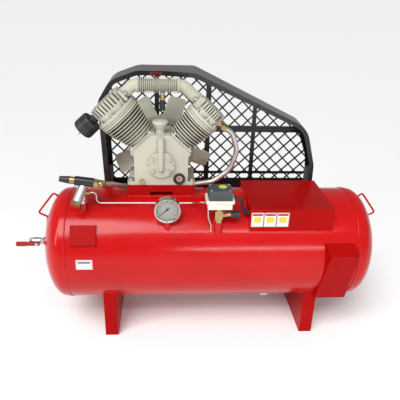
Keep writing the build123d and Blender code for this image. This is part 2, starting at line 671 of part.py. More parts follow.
def make_rod_and_piston(name, frame, side, bore, crown, skirt, wrist_radius):
    pin_across, pin_out, wrist_out = rest_geometry(side)
    big, small = Vector(*at(frame, pin_across, 0, pin_out)), Vector(*at(frame, 0, 0, wrist_out))
    axis = Vector(0, 1, 0)
    half = 9.0
    journal_radius = 16.0
    eye = wrist_radius + 5
    rod = bar(big - axis * half, big + axis * half, 25)
    rod += bar(small - axis * half, small + axis * half, eye)
    shank = Plane(origin=big, x_dir=axis, z_dir=small - big)
    rod += shank * Box(10, 17, ROD_LENGTH, align=BASE)
    rod -= bar(big - axis * 20, big + axis * 20, journal_radius)
    rod -= bar(small - axis * 20, small + axis * 20, wrist_radius)
    journal = bar(big - axis * 10.5, big + axis * 10.5, journal_radius)
    save(f"{name}_connecting_rod", rod, journal)

    radius = bore - RUNNING_CLEARANCE
    top, bottom = wrist_out + crown, wrist_out - skirt
    piston = frame * Pos(0, 0, bottom) * Cylinder(radius - 0.3, top - bottom, align=BASE)
    piston += frame * Pos(0, 0, bottom) * Cylinder(radius, 10, align=BASE)
    piston -= frame * Pos(0, 0, bottom - 1) * Cylinder(radius - 4, top - bottom + 1 - CROWN, align=BASE)
    boss = frame * Pos(0, 0, wrist_out) * Rot(90, 0, 0)
    bosses = boss * Cylinder(wrist_radius + 4, 2 * radius - 4) - boss * Cylinder(wrist_radius + 5, 24)
    clip = frame * Pos(0, 0, bottom) * Cylinder(radius - 2, top - bottom - CROWN, align=BASE)
    piston += bosses & clip
    piston -= boss * Cylinder(wrist_radius - RUNNING_CLEARANCE, 4 * radius)
    rings = []
    for drop in (4, 9):
        place = frame * Pos(0, 0, top - drop - 2.5)
        seat = Cylinder(radius + 1, 2.5, align=BASE) - Cylinder(radius - 2.6, 2.5, align=BASE)
        ring = Cylinder(radius, 2.5, align=BASE) - Cylinder(radius - 2.6, 2.5, align=BASE)
        piston -= place * seat
        rings.append(place * ring)
    pin = boss * Cylinder(wrist_radius - RUNNING_CLEARANCE, 2 * radius - 6)
    save(f"{name}_piston", piston, pin, *rings)


# ---------------------------------------------------------------- pipework on the pump
def make_filter():
    """A round intake filter on the outer side of the low-pressure head."""
    side = -HEADS["low_pressure"]["body"]
    out = LOW_TOP + VALVE_PLATE + 45
    y = -6
    body = bar(at(LOW_FRAME, side - 22, y, out), at(LOW_FRAME, side - 82, y, out), 41)
    body = fillet(body.edges(), 7)
    body += bar(at(LOW_FRAME, side, y, out), at(LOW_FRAME, side - 24, y, out), 17)
    body += bar(at(LOW_FRAME, side - 80, y, out), at(LOW_FRAME, side - 87, y, out), 12)
    for turn in range(3):
        inner = side - 34 - 7 * turn
        start, end = at(LOW_FRAME, inner, y, out), at(LOW_FRAME, inner - 2.4, y, out)
        body -= bar(start, end, 60) - bar(start, end, 38.5)
    save("intake_filter", body)


def elbow_points(spec, side, end_x):
    """Head port, bend and tube end of one intercooler elbow."""
    frame = spec["frame"]
    out = spec["top"] + VALVE_PLATE + 38
    port = at(frame, -side * spec["body"], INTERCOOLER_Y - frame.origin.Y, out)
    rise = INTERCOOLER_Z - port[2]
    run = rise / math.tan(math.radians(V_HALF_ANGLE))
    bend = (port[0] - side * run, INTERCOOLER_Y, INTERCOOLER_Z)
    return [port, bend, (end_x, INTERCOOLER_Y, INTERCOOLER_Z)]


def make_intercooler():
    start = (INTERCOOLER_X[0], INTERCOOLER_Y, INTERCOOLER_Z)
    end = (INTERCOOLER_X[1], INTERCOOLER_Y, INTERCOOLER_Z)
    core = bar(start, end, 22)
    pitch = (INTERCOOLER_X[1] - INTERCOOLER_X[0] - 2.4) / (INTERCOOLER_FINS - 1)
    for index in range(INTERCOOLER_FINS):
        x = INTERCOOLER_X[0] + pitch * index
        core += bar((x, start[1], start[2]), (x + 2.4, start[1], start[2]), 30)
    valve_x = INTERSTAGE_VALVE_X
    core += bar((valve_x, start[1], start[2]), (valve_x, start[1], start[2] - 36), 9)
    core -= bar(start, end, 17)
    core -= bar((valve_x, start[1], start[2]), (valve_x, start[1], start[2] - 37), 5)
    save("intercooler_tube", core)

    elbows = []
    for name, side in (("low_pressure", -1), ("high_pressure", 1)):
        spec = HEADS[name]
        points = elbow_points(spec, side, INTERCOOLER_X[0] if side < 0 else INTERCOOLER_X[1])
        port = Vector(*points[0])
        along = (Vector(*points[1]) - port).normalized()
        bend = 26.0 if side < 0 else 34.0
        body = bent_bar(points, bend, 23) - bent_bar(points, bend, 17)
        pad = Plane(origin=port, x_dir=(0, 1, 0), z_dir=along)
        flange = pad * Box(78, 44, 10, align=BASE) - pad * Cylinder(17, 30)
        for offset in (-30, 30):
            stud = pad * Pos(offset, 0, 10)
            flange += stud * Cylinder(6, 6, align=BASE)
        elbows.append(body + flange)
    save("intercooler_elbows", *elbows)

    low = INTERCOOLER_Z - 36
    y = INTERCOOLER_Y
    body = hexagon((valve_x, y, low), (valve_x, y, low - 16), 19)
    body += bar((valve_x, y, low - 16), (valve_x, y, low - 20), 7)
    body += bar((valve_x, y, low - 20), (valve_x, y, low - 34), 3.5)
    cap = bar((valve_x, y, low - 20.4), (valve_x, y, low - 60), 10.5)
    cap = fillet(cap.edges().sort_by(Axis.Z)[0], 3)
    cap -= bar((valve_x, y, low - 20), (valve_x, y, low - 40), 4)
    save("interstage_relief_cap", cap)
    return body


def discharge_route():
    """The pipe from the high-pressure head, round the pump and through the platform."""
    head_port = at(HIGH_FRAME, HEADS["high_pressure"]["body"] + 26, 10, DISCHARGE_PORT)
    return [
        head_port,
        (78, 34, 812),
        (101, 42, 735),
        (78, 46, 655),
        (10, 44, 602),
        (-90, 30, 594),
        (-350, 6, 594),
        (-392, -52, 628),
        (-428, -104, 650),
    ]


def make_discharge():
    route = discharge_route()
    outside = bent_bar(route, DISCHARGE_BENDS, DISCHARGE_RADIUS)
    save("discharge_pipe", outside - bent_bar(route, DISCHARGE_BENDS, DISCHARGE_RADIUS - DISCHARGE_WALL))
    return route, outside


def make_fittings(route, pipe, valve_body, interstage):
    """The brass nuts, unions, plugs and the drain valve's body."""
    port = Vector(*route[0])
    towards = (Vector(*route[1]) - port).normalized()
    head_side = Vector(*at(HIGH_FRAME, HEADS["high_pressure"]["body"], 10, DISCHARGE_PORT))
    elbow = hexagon(tuple(head_side), tuple(head_side + (port - head_side).normalized() * 14), 24)
    nut_start = port - towards * 2
    nut = hexagon(tuple(nut_start), tuple(nut_start + towards * 20), 29)
    elbow += bar(tuple(head_side), tuple(port), 10.5)
    elbow += nut
    elbow += Pos(*port) * Sphere(13)
    elbow -= pipe

    last, before = Vector(*route[-1]), Vector(*route[-2])
    back = (before - last).normalized()
    body_end = Vector(*VALVE_INLET)
    union = hexagon(tuple(last), tuple(last + back * 18), 28) + Pos(*last) * Sphere(13)
    union += hexagon(tuple(last + (body_end - last).normalized() * 8), tuple(body_end), 30)
    union -= pipe + valve_body

    unloader = hexagon((-482, CHECK_VALVE_Y, 615), (-470, CHECK_VALVE_Y, 615), 13)
    unloader += bar((-470, CHECK_VALVE_Y, 615), (-464, CHECK_VALVE_Y, 615), 5)
    drain = hexagon((DRAIN_X, 0, 112), (DRAIN_X, 0, 100), 22)
    drain += bar((DRAIN_X, 0, 130), (DRAIN_X, 0, 112), 8)
    drain += bar((DRAIN_X, 0, 100), (DRAIN_X, 0, 82), 8)
    drain += bar((DRAIN_X, 0, 92), (DRAIN_X, -14, 92), 6)
    drain -= bar((DRAIN_X, 0, 131), (DRAIN_X, 0, 80), 4)

    front = CASE_FRONT_Y
    x, z = OIL_PLUG
    plug = hexagon((x, front - 10, z), (x, front, z), 19) + bar((x, front, z), (x, front + 12, z), 6)
    along = (Vector(*VALVE_OUTLET) - body_end).normalized()
    start = Vector(*VALVE_OUTLET)
    collar = bar(tuple(start), tuple(start + along * 18), 14)
    collar += bar(tuple(start + along * 18), tuple(start + along * 30), 4)
    outwards = (Vector(*BONNET_END) - Vector(*BONNET_START)).normalized()
    cap = hexagon(BONNET_END, tuple(Vector(*BONNET_END) + outwards * 15), 36)
    save("pipe_fittings", elbow, union, unloader, drain, plug, collar, cap, interstage)

    knob = bar((DRAIN_X, -14.4, 92), (DRAIN_X, -30, 92), 3)
    knob += block((DRAIN_X - 16, DRAIN_X + 16), (-34, -28), (88, 96))
    save("drain_knob", knob)


def make_check_valve():
    """Horizontal black body over its silver bonnet, standing on a nipple in the weld socket."""
    x, y = CHECK_VALVE_X, CHECK_VALVE_Y
    body = fillet(bar(VALVE_INLET, VALVE_OUTLET, 18).edges(), 1.5)
    save("check_valve_body", body)

    stem = bar((x, y, 530), (x, y, 573), 9)
    stem += hexagon((x, y, 573), (x, y, 590), 26)
    stem += bar((x, y, 590), (x, y, 645), 13)
    stem += bar(BONNET_START, BONNET_END, 17)
    stem += bar((x, y, 615), (-482, y, 615), 6)
    save("check_valve_bonnet", stem - body)

    start = Vector(*VALVE_OUTLET)
    along = (start - Vector(*VALVE_INLET)).normalized()
    cap = cone(tuple(start + along * 18.4), tuple(start + along * 56), 14.5, 10.5)
    cap -= bar(tuple(start + along * 18), tuple(start + along * 34), 4.5)
    save("check_valve_relief_cap", cap)
    return body


def make_unloader():
    y = CHECK_VALVE_Y
    points = [
        (-464, y, 615),
        (-446, y, 615),
        (-446, y, 572),
        (-80, y, 572),
        (-54, -146, 594),
        (-37, -154, 597),
    ]
    pipe = bent_bar(points, [12, 16, 20, 12], 3)
    sense = bent_bar(
        [(-27, -176, SWITCH_BASE_Z), (-25, -178, 545), (-14, -180, 515), (-14, -180, 488)],
        [20, 14],
        2.5,
    )
    save("unloader_pipe", pipe - ENVELOPE, sense - ENVELOPE)


# ---------------------------------------------------------------- instruments
def make_gauge():
    x, y, z = GAUGE_CENTRE
    front, back = y - 16, y + 12
    case = bar((x, front, z), (x, back, z), GAUGE_RADIUS)
    case -= bar((x, front - 1, z), (x, back - 6, z), GAUGE_RADIUS - 4)
    stem_y, mouth = GAUGE_STEM_Y, GAUGE_SOCKET_Z
    case += hexagon((x, stem_y, z - GAUGE_RADIUS + 1), (x, stem_y, mouth), 20)
    case += bar((x, stem_y, mouth), (x, stem_y, mouth - 14), 7)
    case -= bar((x, front - 1, z), (x, back - 6, z), GAUGE_RADIUS - 4)
    save("gauge_case", case)
    save("gauge_dial", bar((x, back - 9, z), (x, back - 6, z), GAUGE_RADIUS - 4))
    lens = bar((x, front + 1, z), (x, front + 4, z), GAUGE_RADIUS - 4)
    save("gauge_lens", lens)
    dial_front = back - 9
    needle = bar((x, dial_front - 6, z), (x, dial_front - 0.6, z), 4)
    tip = Vector(x - 26, 0, z - 26)
    outline = Polyline((x - 1.6, z + 1.6), (tip.X, tip.Z), (x + 1.6, z - 1.6), (x + 9, z + 9), close=True)
    needle += plate_xz(make_face(outline), dial_front - 4, dial_front - 2.4)
    save("gauge_needle", needle)


def make_switch():
    x, y, low = SWITCH_X, SWITCH_Y, SWITCH_BASE_Z
    base = block((x - 46, x + 46), (y - 34, y + 34), (low, low + 24))
    base = fillet(base.edges().filter_by(Axis.Z), 6)
    rim = block((x - 53, x + 53), (y - 38, y + 38), (low + 24, low + 36))
    base += fillet(rim.edges().filter_by(Axis.Z), 8)
    base -= bar((x - 60, -154, 597), (x - 40, -154, 597), 3)
    base -= bar((x + 40, -150, 612), (x + 60, -150, 612), 6)
    base -= bar((-27, -176, low - 1), (-27, -176, low + 8), 2.5)
    save("switch_base", base)

    top = low + 75
    cover = block((x - 43, x + 43), (y - 37, y + 37), (low + 36, top))
    cover = fillet(cover.edges().filter_by(Axis.Z), 5)
    cover = fillet(cover.faces().sort_by(Axis.Z)[-1].edges(), 3)
    knob_place = (x + 10, y + 4)
    cover -= bar((*knob_place, top - 18), (*knob_place, top + 1), 16)
    save("switch_cover", cover)
    knob = bar((*knob_place, top - 14), (*knob_place, top + 3), 15.5)
    knob = fillet(knob.edges().sort_by(Axis.Z)[-1], 1.5)
    save("switch_knob", knob)

    brass_x, brass_y = MANIFOLD_X, -172
    body = hexagon((brass_x, brass_y, 526), (brass_x, brass_y, 540), 30)
    body += block((brass_x - 14, brass_x + 14), (brass_y - 14, brass_y + 14), (540, 574))
    body += hexagon((brass_x, brass_y, 574), (brass_x, brass_y, low), 27)
    body += bar((brass_x, brass_y, 500), (brass_x, brass_y, 526), 9)
    valve_z = 556
    body += hexagon((brass_x + 14, brass_y, valve_z), (brass_x + 28, brass_y, valve_z), 20)
    body += bar((brass_x + 28, brass_y, valve_z), (brass_x + 46, brass_y, valve_z), 9)
    body += bar((brass_x + 46, brass_y, valve_z), (brass_x + 60, brass_y, valve_z), 4)
    save("switch_manifold", body)
    cap = bar((brass_x + 46.4, brass_y, valve_z), (brass_x + 82, brass_y, valve_z), 12)
    cap = fillet(cap.edges().sort_by(Axis.X)[-1], 3)
    cap -= bar((brass_x + 46, brass_y, valve_z), (brass_x + 66, brass_y, valve_z), 4.5)
    save("tank_relief_cap", cap)

    gland_y, gland_z = MOTOR_GLAND
    points = [
        (x + 53, -150, 612),
        (x + 86, -148, 612),
        (x + 92, gland_y, 570),
        (MOTOR_X[0] - 12, gland_y, gland_z),
        (MOTOR_X[0] + 3, gland_y, gland_z),
    ]
    cable = bent_bar(points, [14, 16, 8], CABLE_RADIUS)
    gland = tube((x + 53, -150, 612), (x + 67, -150, 612), GLAND_RADIUS, CABLE_RADIUS)
    entry = (MOTOR_X[0], gland_y, gland_z)
    socket = tube((MOTOR_X[0] - 9, gland_y, gland_z), entry, GLAND_RADIUS, CABLE_RADIUS)
    save("motor_cable", cable, gland, socket)


def make_outlet():
    """A ball valve on the left head, its lever in line with the pipe when it is open."""
    z = TANK_AXIS_Z
    inner, outer = -690.0, -748.0
    body = hexagon((inner, 0, z), (inner - 14, 0, z), 27)
    body += bar((inner - 14, 0, z), (outer + 14, 0, z), 15.5)
    body += hexagon((outer + 14, 0, z), (outer, 0, z), 27)
    body += bar((inner, 0, z), (inner + 28, 0, z), 10)
    body += bar((OUTLET_X, 0, z), (OUTLET_X, -21, z), 7)
    body -= Pos(OUTLET_X, 0, z) * Sphere(12.4)
    body -= bar((inner + 29, 0, z), (OUTLET_X, 0, z), 7)
    body -= bar((OUTLET_X, 0, z), (outer + 16, 0, z), 7)
    body -= bar((outer + 16, 0, z), (outer - 1, 0, z), 9.5)
    body -= bar((OUTLET_X, 0, z), (OUTLET_X, -22, z), 4.05)
    save("outlet_valve_body", body)
    ball = Pos(OUTLET_X, 0, z) * Sphere(12) - bar((OUTLET_X - 20, 0, z), (OUTLET_X + 20, 0, z), 7)
    stem = bar((OUTLET_X, -9, z), (OUTLET_X, -30, z), 4)
    save("outlet_valve_ball", ball + stem - bar((OUTLET_X - 20, 0, z), (OUTLET_X + 20, 0, z), 7))
    plate = block((-760, OUTLET_X + 12), (-26, -23), (z - 9, z + 9))
    plate += block((-798, -756), (-28.5, -20.5), (z - 9, z + 9))
    plate -= bar((OUTLET_X, -30, z), (OUTLET_X, -20, z), 4)
    save("outlet_lever", fillet(plate.edges().filter_by(Axis.Y), 3))


def make_breather(deck_top):
    x, y = BREATHER
    base = deck_top + 14.4
    cap = bar((x, y, deck_top - 12), (x, y, base), 8.6)
    cap += cone((x, y, base), (x, y, base + 22), 17, 27)
    cap += bar((x, y, base + 22), (x, y, base + 33), 29)
    cap = fillet(cap.edges().sort_by(Axis.Z)[-1], 4)
    save("breather_cap", cap)


def make_small_parts():
    x, z = SIGHT
    front = CASE_FRONT_Y
    ring = tube((x, front - 7, z), (x, front, z), 23, 14)
    ring += tube((x, front, z), (x, front + 8, z), 16, 14)
    save("sight_glass_ring", ring)
    save("sight_glass_lens", bar((x, front - 3, z), (x, front + 6, z), 14))


# ---------------------------------------------------------------- belt guard
def guard_face(slope_start, slope_end, shoulder, right):
    """The guard's outline: straight sides, a rounded left shoulder and a slope down to the right."""
    low = GUARD_BOTTOM_Z
    points = [
        (GUARD_LEFT, low),
        (-457, 905),
        (-405, 990),
        (-300, 1029),
        (-188, 1029),
        slope_start,
        slope_end,
        shoulder,
        (right, low),
    ]
    path = FilletPolyline(*points, radius=GUARD_BENDS)
    return make_face(path + Line((right, low), (GUARD_LEFT, low)))


def front_face():
    return guard_face((-66, 1022), (408, 806), (455, 640), GUARD_RIGHT)


def back_face():
    """The far side, which flares out to the right."""
    return guard_face((-66, 1030), (418, 798), (479, 640), GUARD_BACK_RIGHT)


def guard_form(inset):
    """The solid between the two faces, inset all round."""
    faces = []
    for face, y in ((front_face(), GUARD_FRONT_Y), (back_face(), GUARD_BACK_Y)):
        shape = offset(face, -inset) if inset else face
        faces.append((Plane.XZ.offset(-y) * shape).faces()[0])
    return loft(faces, ruled=True)


def make_guard():
    """A black flange, a sheet band behind it, and a barred diamond grille over the far side."""
    front, back = GUARD_FRONT_Y, GUARD_BACK_Y
    clear = bar((-600, 0, TANK_AXIS_Z), (600, 0, TANK_AXIS_Z), TANK_RADIUS + 2)
    left, right = GUARD_LEFT + GUARD_RIM, GUARD_RIGHT - GUARD_RIM
    open_bottom = block((left, right), (100, back + 1), (400, 560))
    flange = front_face() - offset(front_face(), -GUARD_RIM)
    save("guard_rim", plate_xz(flange, front, front + GUARD_SHEET) - open_bottom - clear)

    form, inside = guard_form(0.0), guard_form(GUARD_SHEET)
    behind = block((-700, 700), (front + GUARD_SHEET, back + 1), (400, 1100))
    band = ((form - inside) & behind) - open_bottom - clear
    stays = ((GUARD_LEFT - 20, GUARD_LEFT + STAY_WIDTH), (GUARD_RIGHT - STAY_WIDTH, GUARD_BACK_RIGHT))
    for low, high in stays:
        stay = block((low, high), (STAY_Y, STAY_Y + 4), (470, 620)) & form
        band += stay - ENVELOPE
    save("guard_band", band)

    border = plate_xz(back_face() - offset(back_face(), -GRILLE_BORDER), back - BAR_DEPTH, back)
    for across, up in GRILLE_BARS:
        border += block(across, (back - BAR_DEPTH, back), up)

    hole = MESH_PITCH / math.sqrt(2) - MESH_WIRE
    step = MESH_PITCH / 2
    diamonds = []
    for column in range(int(960 / step)):
        for row in range(int(600 / step)):
            if (column + row) % 2 == 0:
                centre = (GUARD_LEFT - 17 + column * step, GUARD_BOTTOM_Z + 14 + row * step)
                diamonds.append(Pos(*centre) * Rot(0, 0, 45) * Rectangle(hole, hole))
    lattice = back_face() - (Sketch() + diamonds & offset(back_face(), -13))
    grille = border + plate_xz(lattice, back - BAR_DEPTH, back - BAR_DEPTH + MESH_THICKNESS)
    save("guard_grille", grille & inside)


# ---------------------------------------------------------------- build
make_receiver()
make_feet()
make_handles()
make_plates()
make_platforms()
make_side_cover()
DECK_TOP = make_crankcase()
make_covers()
make_cylinder("low_pressure_cylinder", LOW_FRAME, LOW_BORE_RADIUS, LOW_TOP, 9, 63.0, 86.0, 56.0)
make_cylinder("high_pressure_cylinder", HIGH_FRAME, HIGH_BORE_RADIUS, HIGH_TOP, 8, 58.0, 69.0, 50.0)
save("valve_plates", *[make_head(name, spec) for name, spec in HEADS.items()])
make_bolts()
RETAINER = make_crankshaft()
make_flywheel()
make_fan(RETAINER)
make_rod_and_piston("low_pressure", LOW_FRAME, -1, LOW_BORE_RADIUS, 30.0, 30.0, 10.0)
make_rod_and_piston("high_pressure", HIGH_FRAME, 1, HIGH_BORE_RADIUS, 16.0, 34.0, 6.0)
make_filter()
make_fittings(*make_discharge(), make_check_valve(), make_intercooler())
make_unloader()
make_gauge()
make_switch()
make_outlet()
make_breather(DECK_TOP)
make_small_parts()
make_guard()
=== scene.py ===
import json
import math

import bmesh
import bpy
from mathutils import Matrix, Vector


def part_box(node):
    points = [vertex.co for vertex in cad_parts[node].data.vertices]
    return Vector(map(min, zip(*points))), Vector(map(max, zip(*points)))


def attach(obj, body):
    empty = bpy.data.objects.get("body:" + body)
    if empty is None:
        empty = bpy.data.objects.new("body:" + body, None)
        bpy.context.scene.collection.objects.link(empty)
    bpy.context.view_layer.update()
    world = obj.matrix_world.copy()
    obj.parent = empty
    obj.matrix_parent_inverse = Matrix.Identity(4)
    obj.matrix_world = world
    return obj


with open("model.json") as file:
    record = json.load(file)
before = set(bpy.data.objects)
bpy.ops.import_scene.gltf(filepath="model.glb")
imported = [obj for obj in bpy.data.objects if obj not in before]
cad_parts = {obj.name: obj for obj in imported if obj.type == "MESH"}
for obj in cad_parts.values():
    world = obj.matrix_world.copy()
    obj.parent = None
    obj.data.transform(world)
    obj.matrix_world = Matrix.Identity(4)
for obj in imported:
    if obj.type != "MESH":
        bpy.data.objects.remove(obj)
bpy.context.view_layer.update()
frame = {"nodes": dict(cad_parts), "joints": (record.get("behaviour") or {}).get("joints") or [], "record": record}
NODES = frame["nodes"]
JOINTS = {joint["name"]: joint for joint in frame["joints"]}
MM = 0.001

# The camera: where it stands, how it is turned, and its lens
CAMERA_AT = Vector((-0.1748, -1.7571, 1.3368))
CAMERA_YAW = math.radians(4.22)
CAMERA_PITCH = math.radians(24.41)
CAMERA_ROLL = math.radians(1.76)
CAMERA_LENS = 42.5
CAMERA_SENSOR = 36.0

# The receiver, which most welds follow
TANK_RADIUS = 225 * MM
TANK_AXIS_Z = 350 * MM
WELD_SOCKETS = (
    (-178 * MM, -162 * MM, 13 * MM),
    (14 * MM, -172 * MM, 17 * MM),
    (-498 * MM, -104 * MM, 15 * MM),
)
FOOT_INNER_X = 382 * MM
FOOT_WIDTH = 52 * MM
FOOT_REACH = 178 * MM
WELD_STEP = 2 * MM
WELD_OUT = 0.5 * MM

# The two cylinders: the joints that place each, and its base stud offset, top, head radius and port distance
DECK_TOP = 118 * MM
CYLINDERS = {
    "low_pressure": {"rod": "low_rod_swing", "slide": "low_piston_slide", "stud": 47 * MM, "top": 236 * MM,
                     "radius": 86 * MM, "port": 66 * MM},
    "high_pressure": {"rod": "high_rod_swing", "slide": "high_piston_slide", "stud": 41 * MM, "top": 222 * MM,
                      "radius": 69 * MM, "port": 55 * MM},
}
VALVE_PLATE = 8 * MM
GASKET_HALF = 0.7 * MM
INTERCOOLER_Y = 34 * MM
INTERCOOLER_Z = 994 * MM
PORT_HEIGHT = 46 * MM

# Where the cable's glands stand on the switch and on the motor platform, in Y and Z
SWITCH_GLAND = (-150 * MM, 612 * MM)
BOX_GLAND = (-140 * MM, 548 * MM)

# Surfaces: the middle part of a noise pattern that is used, and the painted shade that darkens the hollows of
# castings
NOISE_LOW, NOISE_HIGH = 0.3, 0.7
BLOTCH_SCALE = 7.0
HOLLOW_SHADE_REACH = 0.018
HOLLOW_SHADE_DARKNESS = 0.25
SHEET_ROUGHNESS = (0.3, 0.45)
PRINT_THICK = 0.15 * MM

# The room
FLOOR_SIZE = 200
FLOOR_COLOR = (0.95, 0.95, 0.95)
WORLD_LIGHT = 0.38
SUN_LIGHT = 2.4
SUN_TURN = (math.radians(32), math.radians(-20), 0)
SUN_WIDTH = math.radians(35)


# ---------------------------------------------------------------- materials
def new_material(name):
    """A material with its shader and node tree, and object coordinates to paint by."""
    material = bpy.data.materials.new(name)
    material.use_nodes = True
    tree = material.node_tree
    shader = tree.nodes["Principled BSDF"]
    place = tree.nodes.new("ShaderNodeTexCoord").outputs["Object"]
    return material, tree, shader, place


def noise(tree, place, scale, detail=3.0):
    """A noise pattern."""
    node = tree.nodes.new("ShaderNodeTexNoise")
    node.inputs["Scale"].default_value = scale
    node.inputs["Detail"].default_value = detail
    tree.links.new(place, node.inputs["Vector"])
    return node.outputs["Fac"]


def ramp(tree, value, low, high):
    """A colour that goes from low to high as the value rises."""
    node = tree.nodes.new("ShaderNodeValToRGB")
    node.color_ramp.elements[0].position = NOISE_LOW
    node.color_ramp.elements[1].position = NOISE_HIGH
    node.color_ramp.elements[0].color = (*low, 1)
    node.color_ramp.elements[1].color = (*high, 1)
    tree.links.new(value, node.inputs["Fac"])
    return node.outputs["Color"]


def spread(tree, value, low, high):
    """A number that goes from low to high as the value rises."""
    node = tree.nodes.new("ShaderNodeMapRange")
    node.inputs["From Min"].default_value = NOISE_LOW
    node.inputs["From Max"].default_value = NOISE_HIGH
    node.inputs["To Min"].default_value = low
    node.inputs["To Max"].default_value = high
    tree.links.new(value, node.inputs["Value"])
    return node.outputs["Result"]


def bump(tree, shader, height, strength, distance):
    """Surface relief from a height."""
    node = tree.nodes.new("ShaderNodeBump")
    node.inputs["Strength"].default_value = strength
    node.inputs["Distance"].default_value = distance
    tree.links.new(height, node.inputs["Height"])
    tree.links.new(node.outputs["Normal"], shader.inputs["Normal"])


def finish(name, color, shade, rough, metal=0.0, shine=0.5, grain=300.0, relief=0.15, depth=0.0004,
           hollow_shade=0.0):
    """One surface: colour from shade to color, roughness between two values, fine relief and painted shade in
    hollows.
    """
    material, tree, shader, place = new_material(name)
    broad = noise(tree, place, BLOTCH_SCALE)
    fine = noise(tree, place, grain, 2.0)
    color_out = ramp(tree, broad, shade, color)
    # Painted shade: where ambient occlusion finds a hollow or crease, the colour is mixed towards a darker copy of
    # the shade colour
    if hollow_shade:
        occlusion = tree.nodes.new("ShaderNodeAmbientOcclusion")
        occlusion.inputs["Distance"].default_value = HOLLOW_SHADE_REACH
        occlusion.samples = 4
        tree.links.new(color_out, occlusion.inputs["Color"])
        painted_shade_mix = tree.nodes.new("ShaderNodeMix")
        painted_shade_mix.data_type = "RGBA"
        tree.links.new(spread(tree, occlusion.outputs["AO"], 1.0 - hollow_shade, 1.0), painted_shade_mix.inputs["Factor"])
        painted_shade_mix.inputs["A"].default_value = (*[channel * HOLLOW_SHADE_DARKNESS for channel in shade], 1)
        tree.links.new(color_out, painted_shade_mix.inputs["B"])
        color_out = painted_shade_mix.outputs["Result"]
    tree.links.new(color_out, shader.inputs["Base Color"])
    tree.links.new(spread(tree, fine, *rough), shader.inputs["Roughness"])
    shader.inputs["Metallic"].default_value = metal
    shader.inputs["Specular IOR Level"].default_value = shine
    bump(tree, shader, fine, relief, depth)
    return material


def glass(name, tint):
    """Clear glass with faint smears."""
    material, tree, shader, place = new_material(name)
    shader.inputs["Base Color"].default_value = (*tint, 1)
    shader.inputs["Transmission Weight"].default_value = 1.0
    shader.inputs["IOR"].default_value = 1.3
    tree.links.new(spread(tree, noise(tree, place, 90.0), 0.02, 0.07), shader.inputs["Roughness"])
    return material


MATERIALS = {
    "receiver_red": finish("receiver_red", (0.50, 0.003, 0.004), (0.44, 0.002, 0.003),
                           (0.17, 0.21), shine=0.3,
                           grain=40.0, relief=0.04),
    "bracket_red": finish("bracket_red", (0.37, 0.003, 0.003), (0.32, 0.002, 0.002),
                          (0.28, 0.34), shine=0.06,
                          grain=40.0, relief=0.03),
    # pump_paint: grey casting paint, with painted shade darkening its hollows
    "pump_paint": finish("pump_paint", (0.52, 0.505, 0.41), (0.43, 0.42, 0.335), (0.42, 0.56), grain=420.0,
                         relief=0.35, depth=0.0006, hollow_shade=0.55),
    "cast_dark": finish("cast_dark", (0.20, 0.20, 0.20), (0.12, 0.12, 0.12),
                        (0.35, 0.5), metal=0.8, grain=380.0),
    "steel": finish("steel", (0.62, 0.62, 0.60), (0.50, 0.50, 0.48), (0.25, 0.4), metal=1.0, grain=500.0),
    "aluminium": finish("aluminium", (0.74, 0.74, 0.72), (0.60, 0.60, 0.58),
                        (0.34, 0.46), metal=1.0, grain=500.0),
    "fan_paint": finish("fan_paint", (0.80, 0.80, 0.66), (0.72, 0.72, 0.59),
                        (0.5, 0.62), shine=0.2, grain=350.0),
    "flywheel_paint": finish("flywheel_paint", (0.46, 0.44, 0.36), (0.36, 0.34, 0.28),
                             (0.35, 0.5), grain=350.0),
    "brass": finish("brass", (0.50, 0.37, 0.17), (0.34, 0.24, 0.10), (0.26, 0.42), metal=1.0, grain=450.0),
    "black_plastic": finish("black_plastic", (0.022, 0.022, 0.022), (0.014, 0.014, 0.014),
                            (0.35, 0.5), grain=600.0),
    "guard_black": finish("guard_black", (0.016, 0.016, 0.017), (0.010, 0.010, 0.011),
                          SHEET_ROUGHNESS, grain=500.0),
    # guard_sheet: the guard's black paint made dark grey, a painted sheen where the band's top reflects the bright
    # room
    "guard_sheet": finish("guard_sheet", (0.11, 0.11, 0.115), (0.08, 0.08, 0.085),
                          SHEET_ROUGHNESS, grain=500.0),
    "valve_black": finish("valve_black", (0.02, 0.02, 0.022), (0.012, 0.012, 0.013),
                          (0.25, 0.4), grain=400.0),
    "label_white": finish("label_white", (0.82, 0.82, 0.80), (0.74, 0.74, 0.72),
                          (0.3, 0.4), grain=500.0, relief=0.05),
    "gauge_chrome": finish("gauge_chrome", (0.52, 0.49, 0.46), (0.42, 0.39, 0.36), (0.12, 0.20), metal=1.0),
    "dial_white": finish("dial_white", (0.60, 0.57, 0.53), (0.54, 0.51, 0.47), (0.4, 0.5), relief=0.03),
    "glass": glass("glass", (0.97, 0.99, 0.98)),
    "needle_black": finish("needle_black", (0.012, 0.012, 0.012), (0.008, 0.008, 0.008), (0.3, 0.4)),
    "switch_cream": finish("switch_cream", (0.74, 0.73, 0.65), (0.66, 0.65, 0.57),
                           (0.35, 0.5), grain=500.0),
    "switch_grey": finish("switch_grey", (0.055, 0.062, 0.066), (0.04, 0.046, 0.05),
                          (0.35, 0.5), grain=600.0),
    "knob_yellow": finish("knob_yellow", (0.62, 0.60, 0.06), (0.54, 0.52, 0.05), (0.25, 0.35), grain=400.0),
    "cable_black": finish("cable_black", (0.02, 0.02, 0.02), (0.013, 0.013, 0.013),
                          (0.45, 0.6), grain=500.0),
    "lever_red": finish("lever_red", (0.35, 0.02, 0.018), (0.28, 0.014, 0.012), (0.25, 0.4), shine=0.3),
    "sight_glass": glass("sight_glass", (0.95, 0.88, 0.70)),
}
PRINT_RED = finish("print_red", (0.45, 0.012, 0.012), (0.38, 0.010, 0.010),
                   (0.35, 0.45), grain=500.0, relief=0.02)
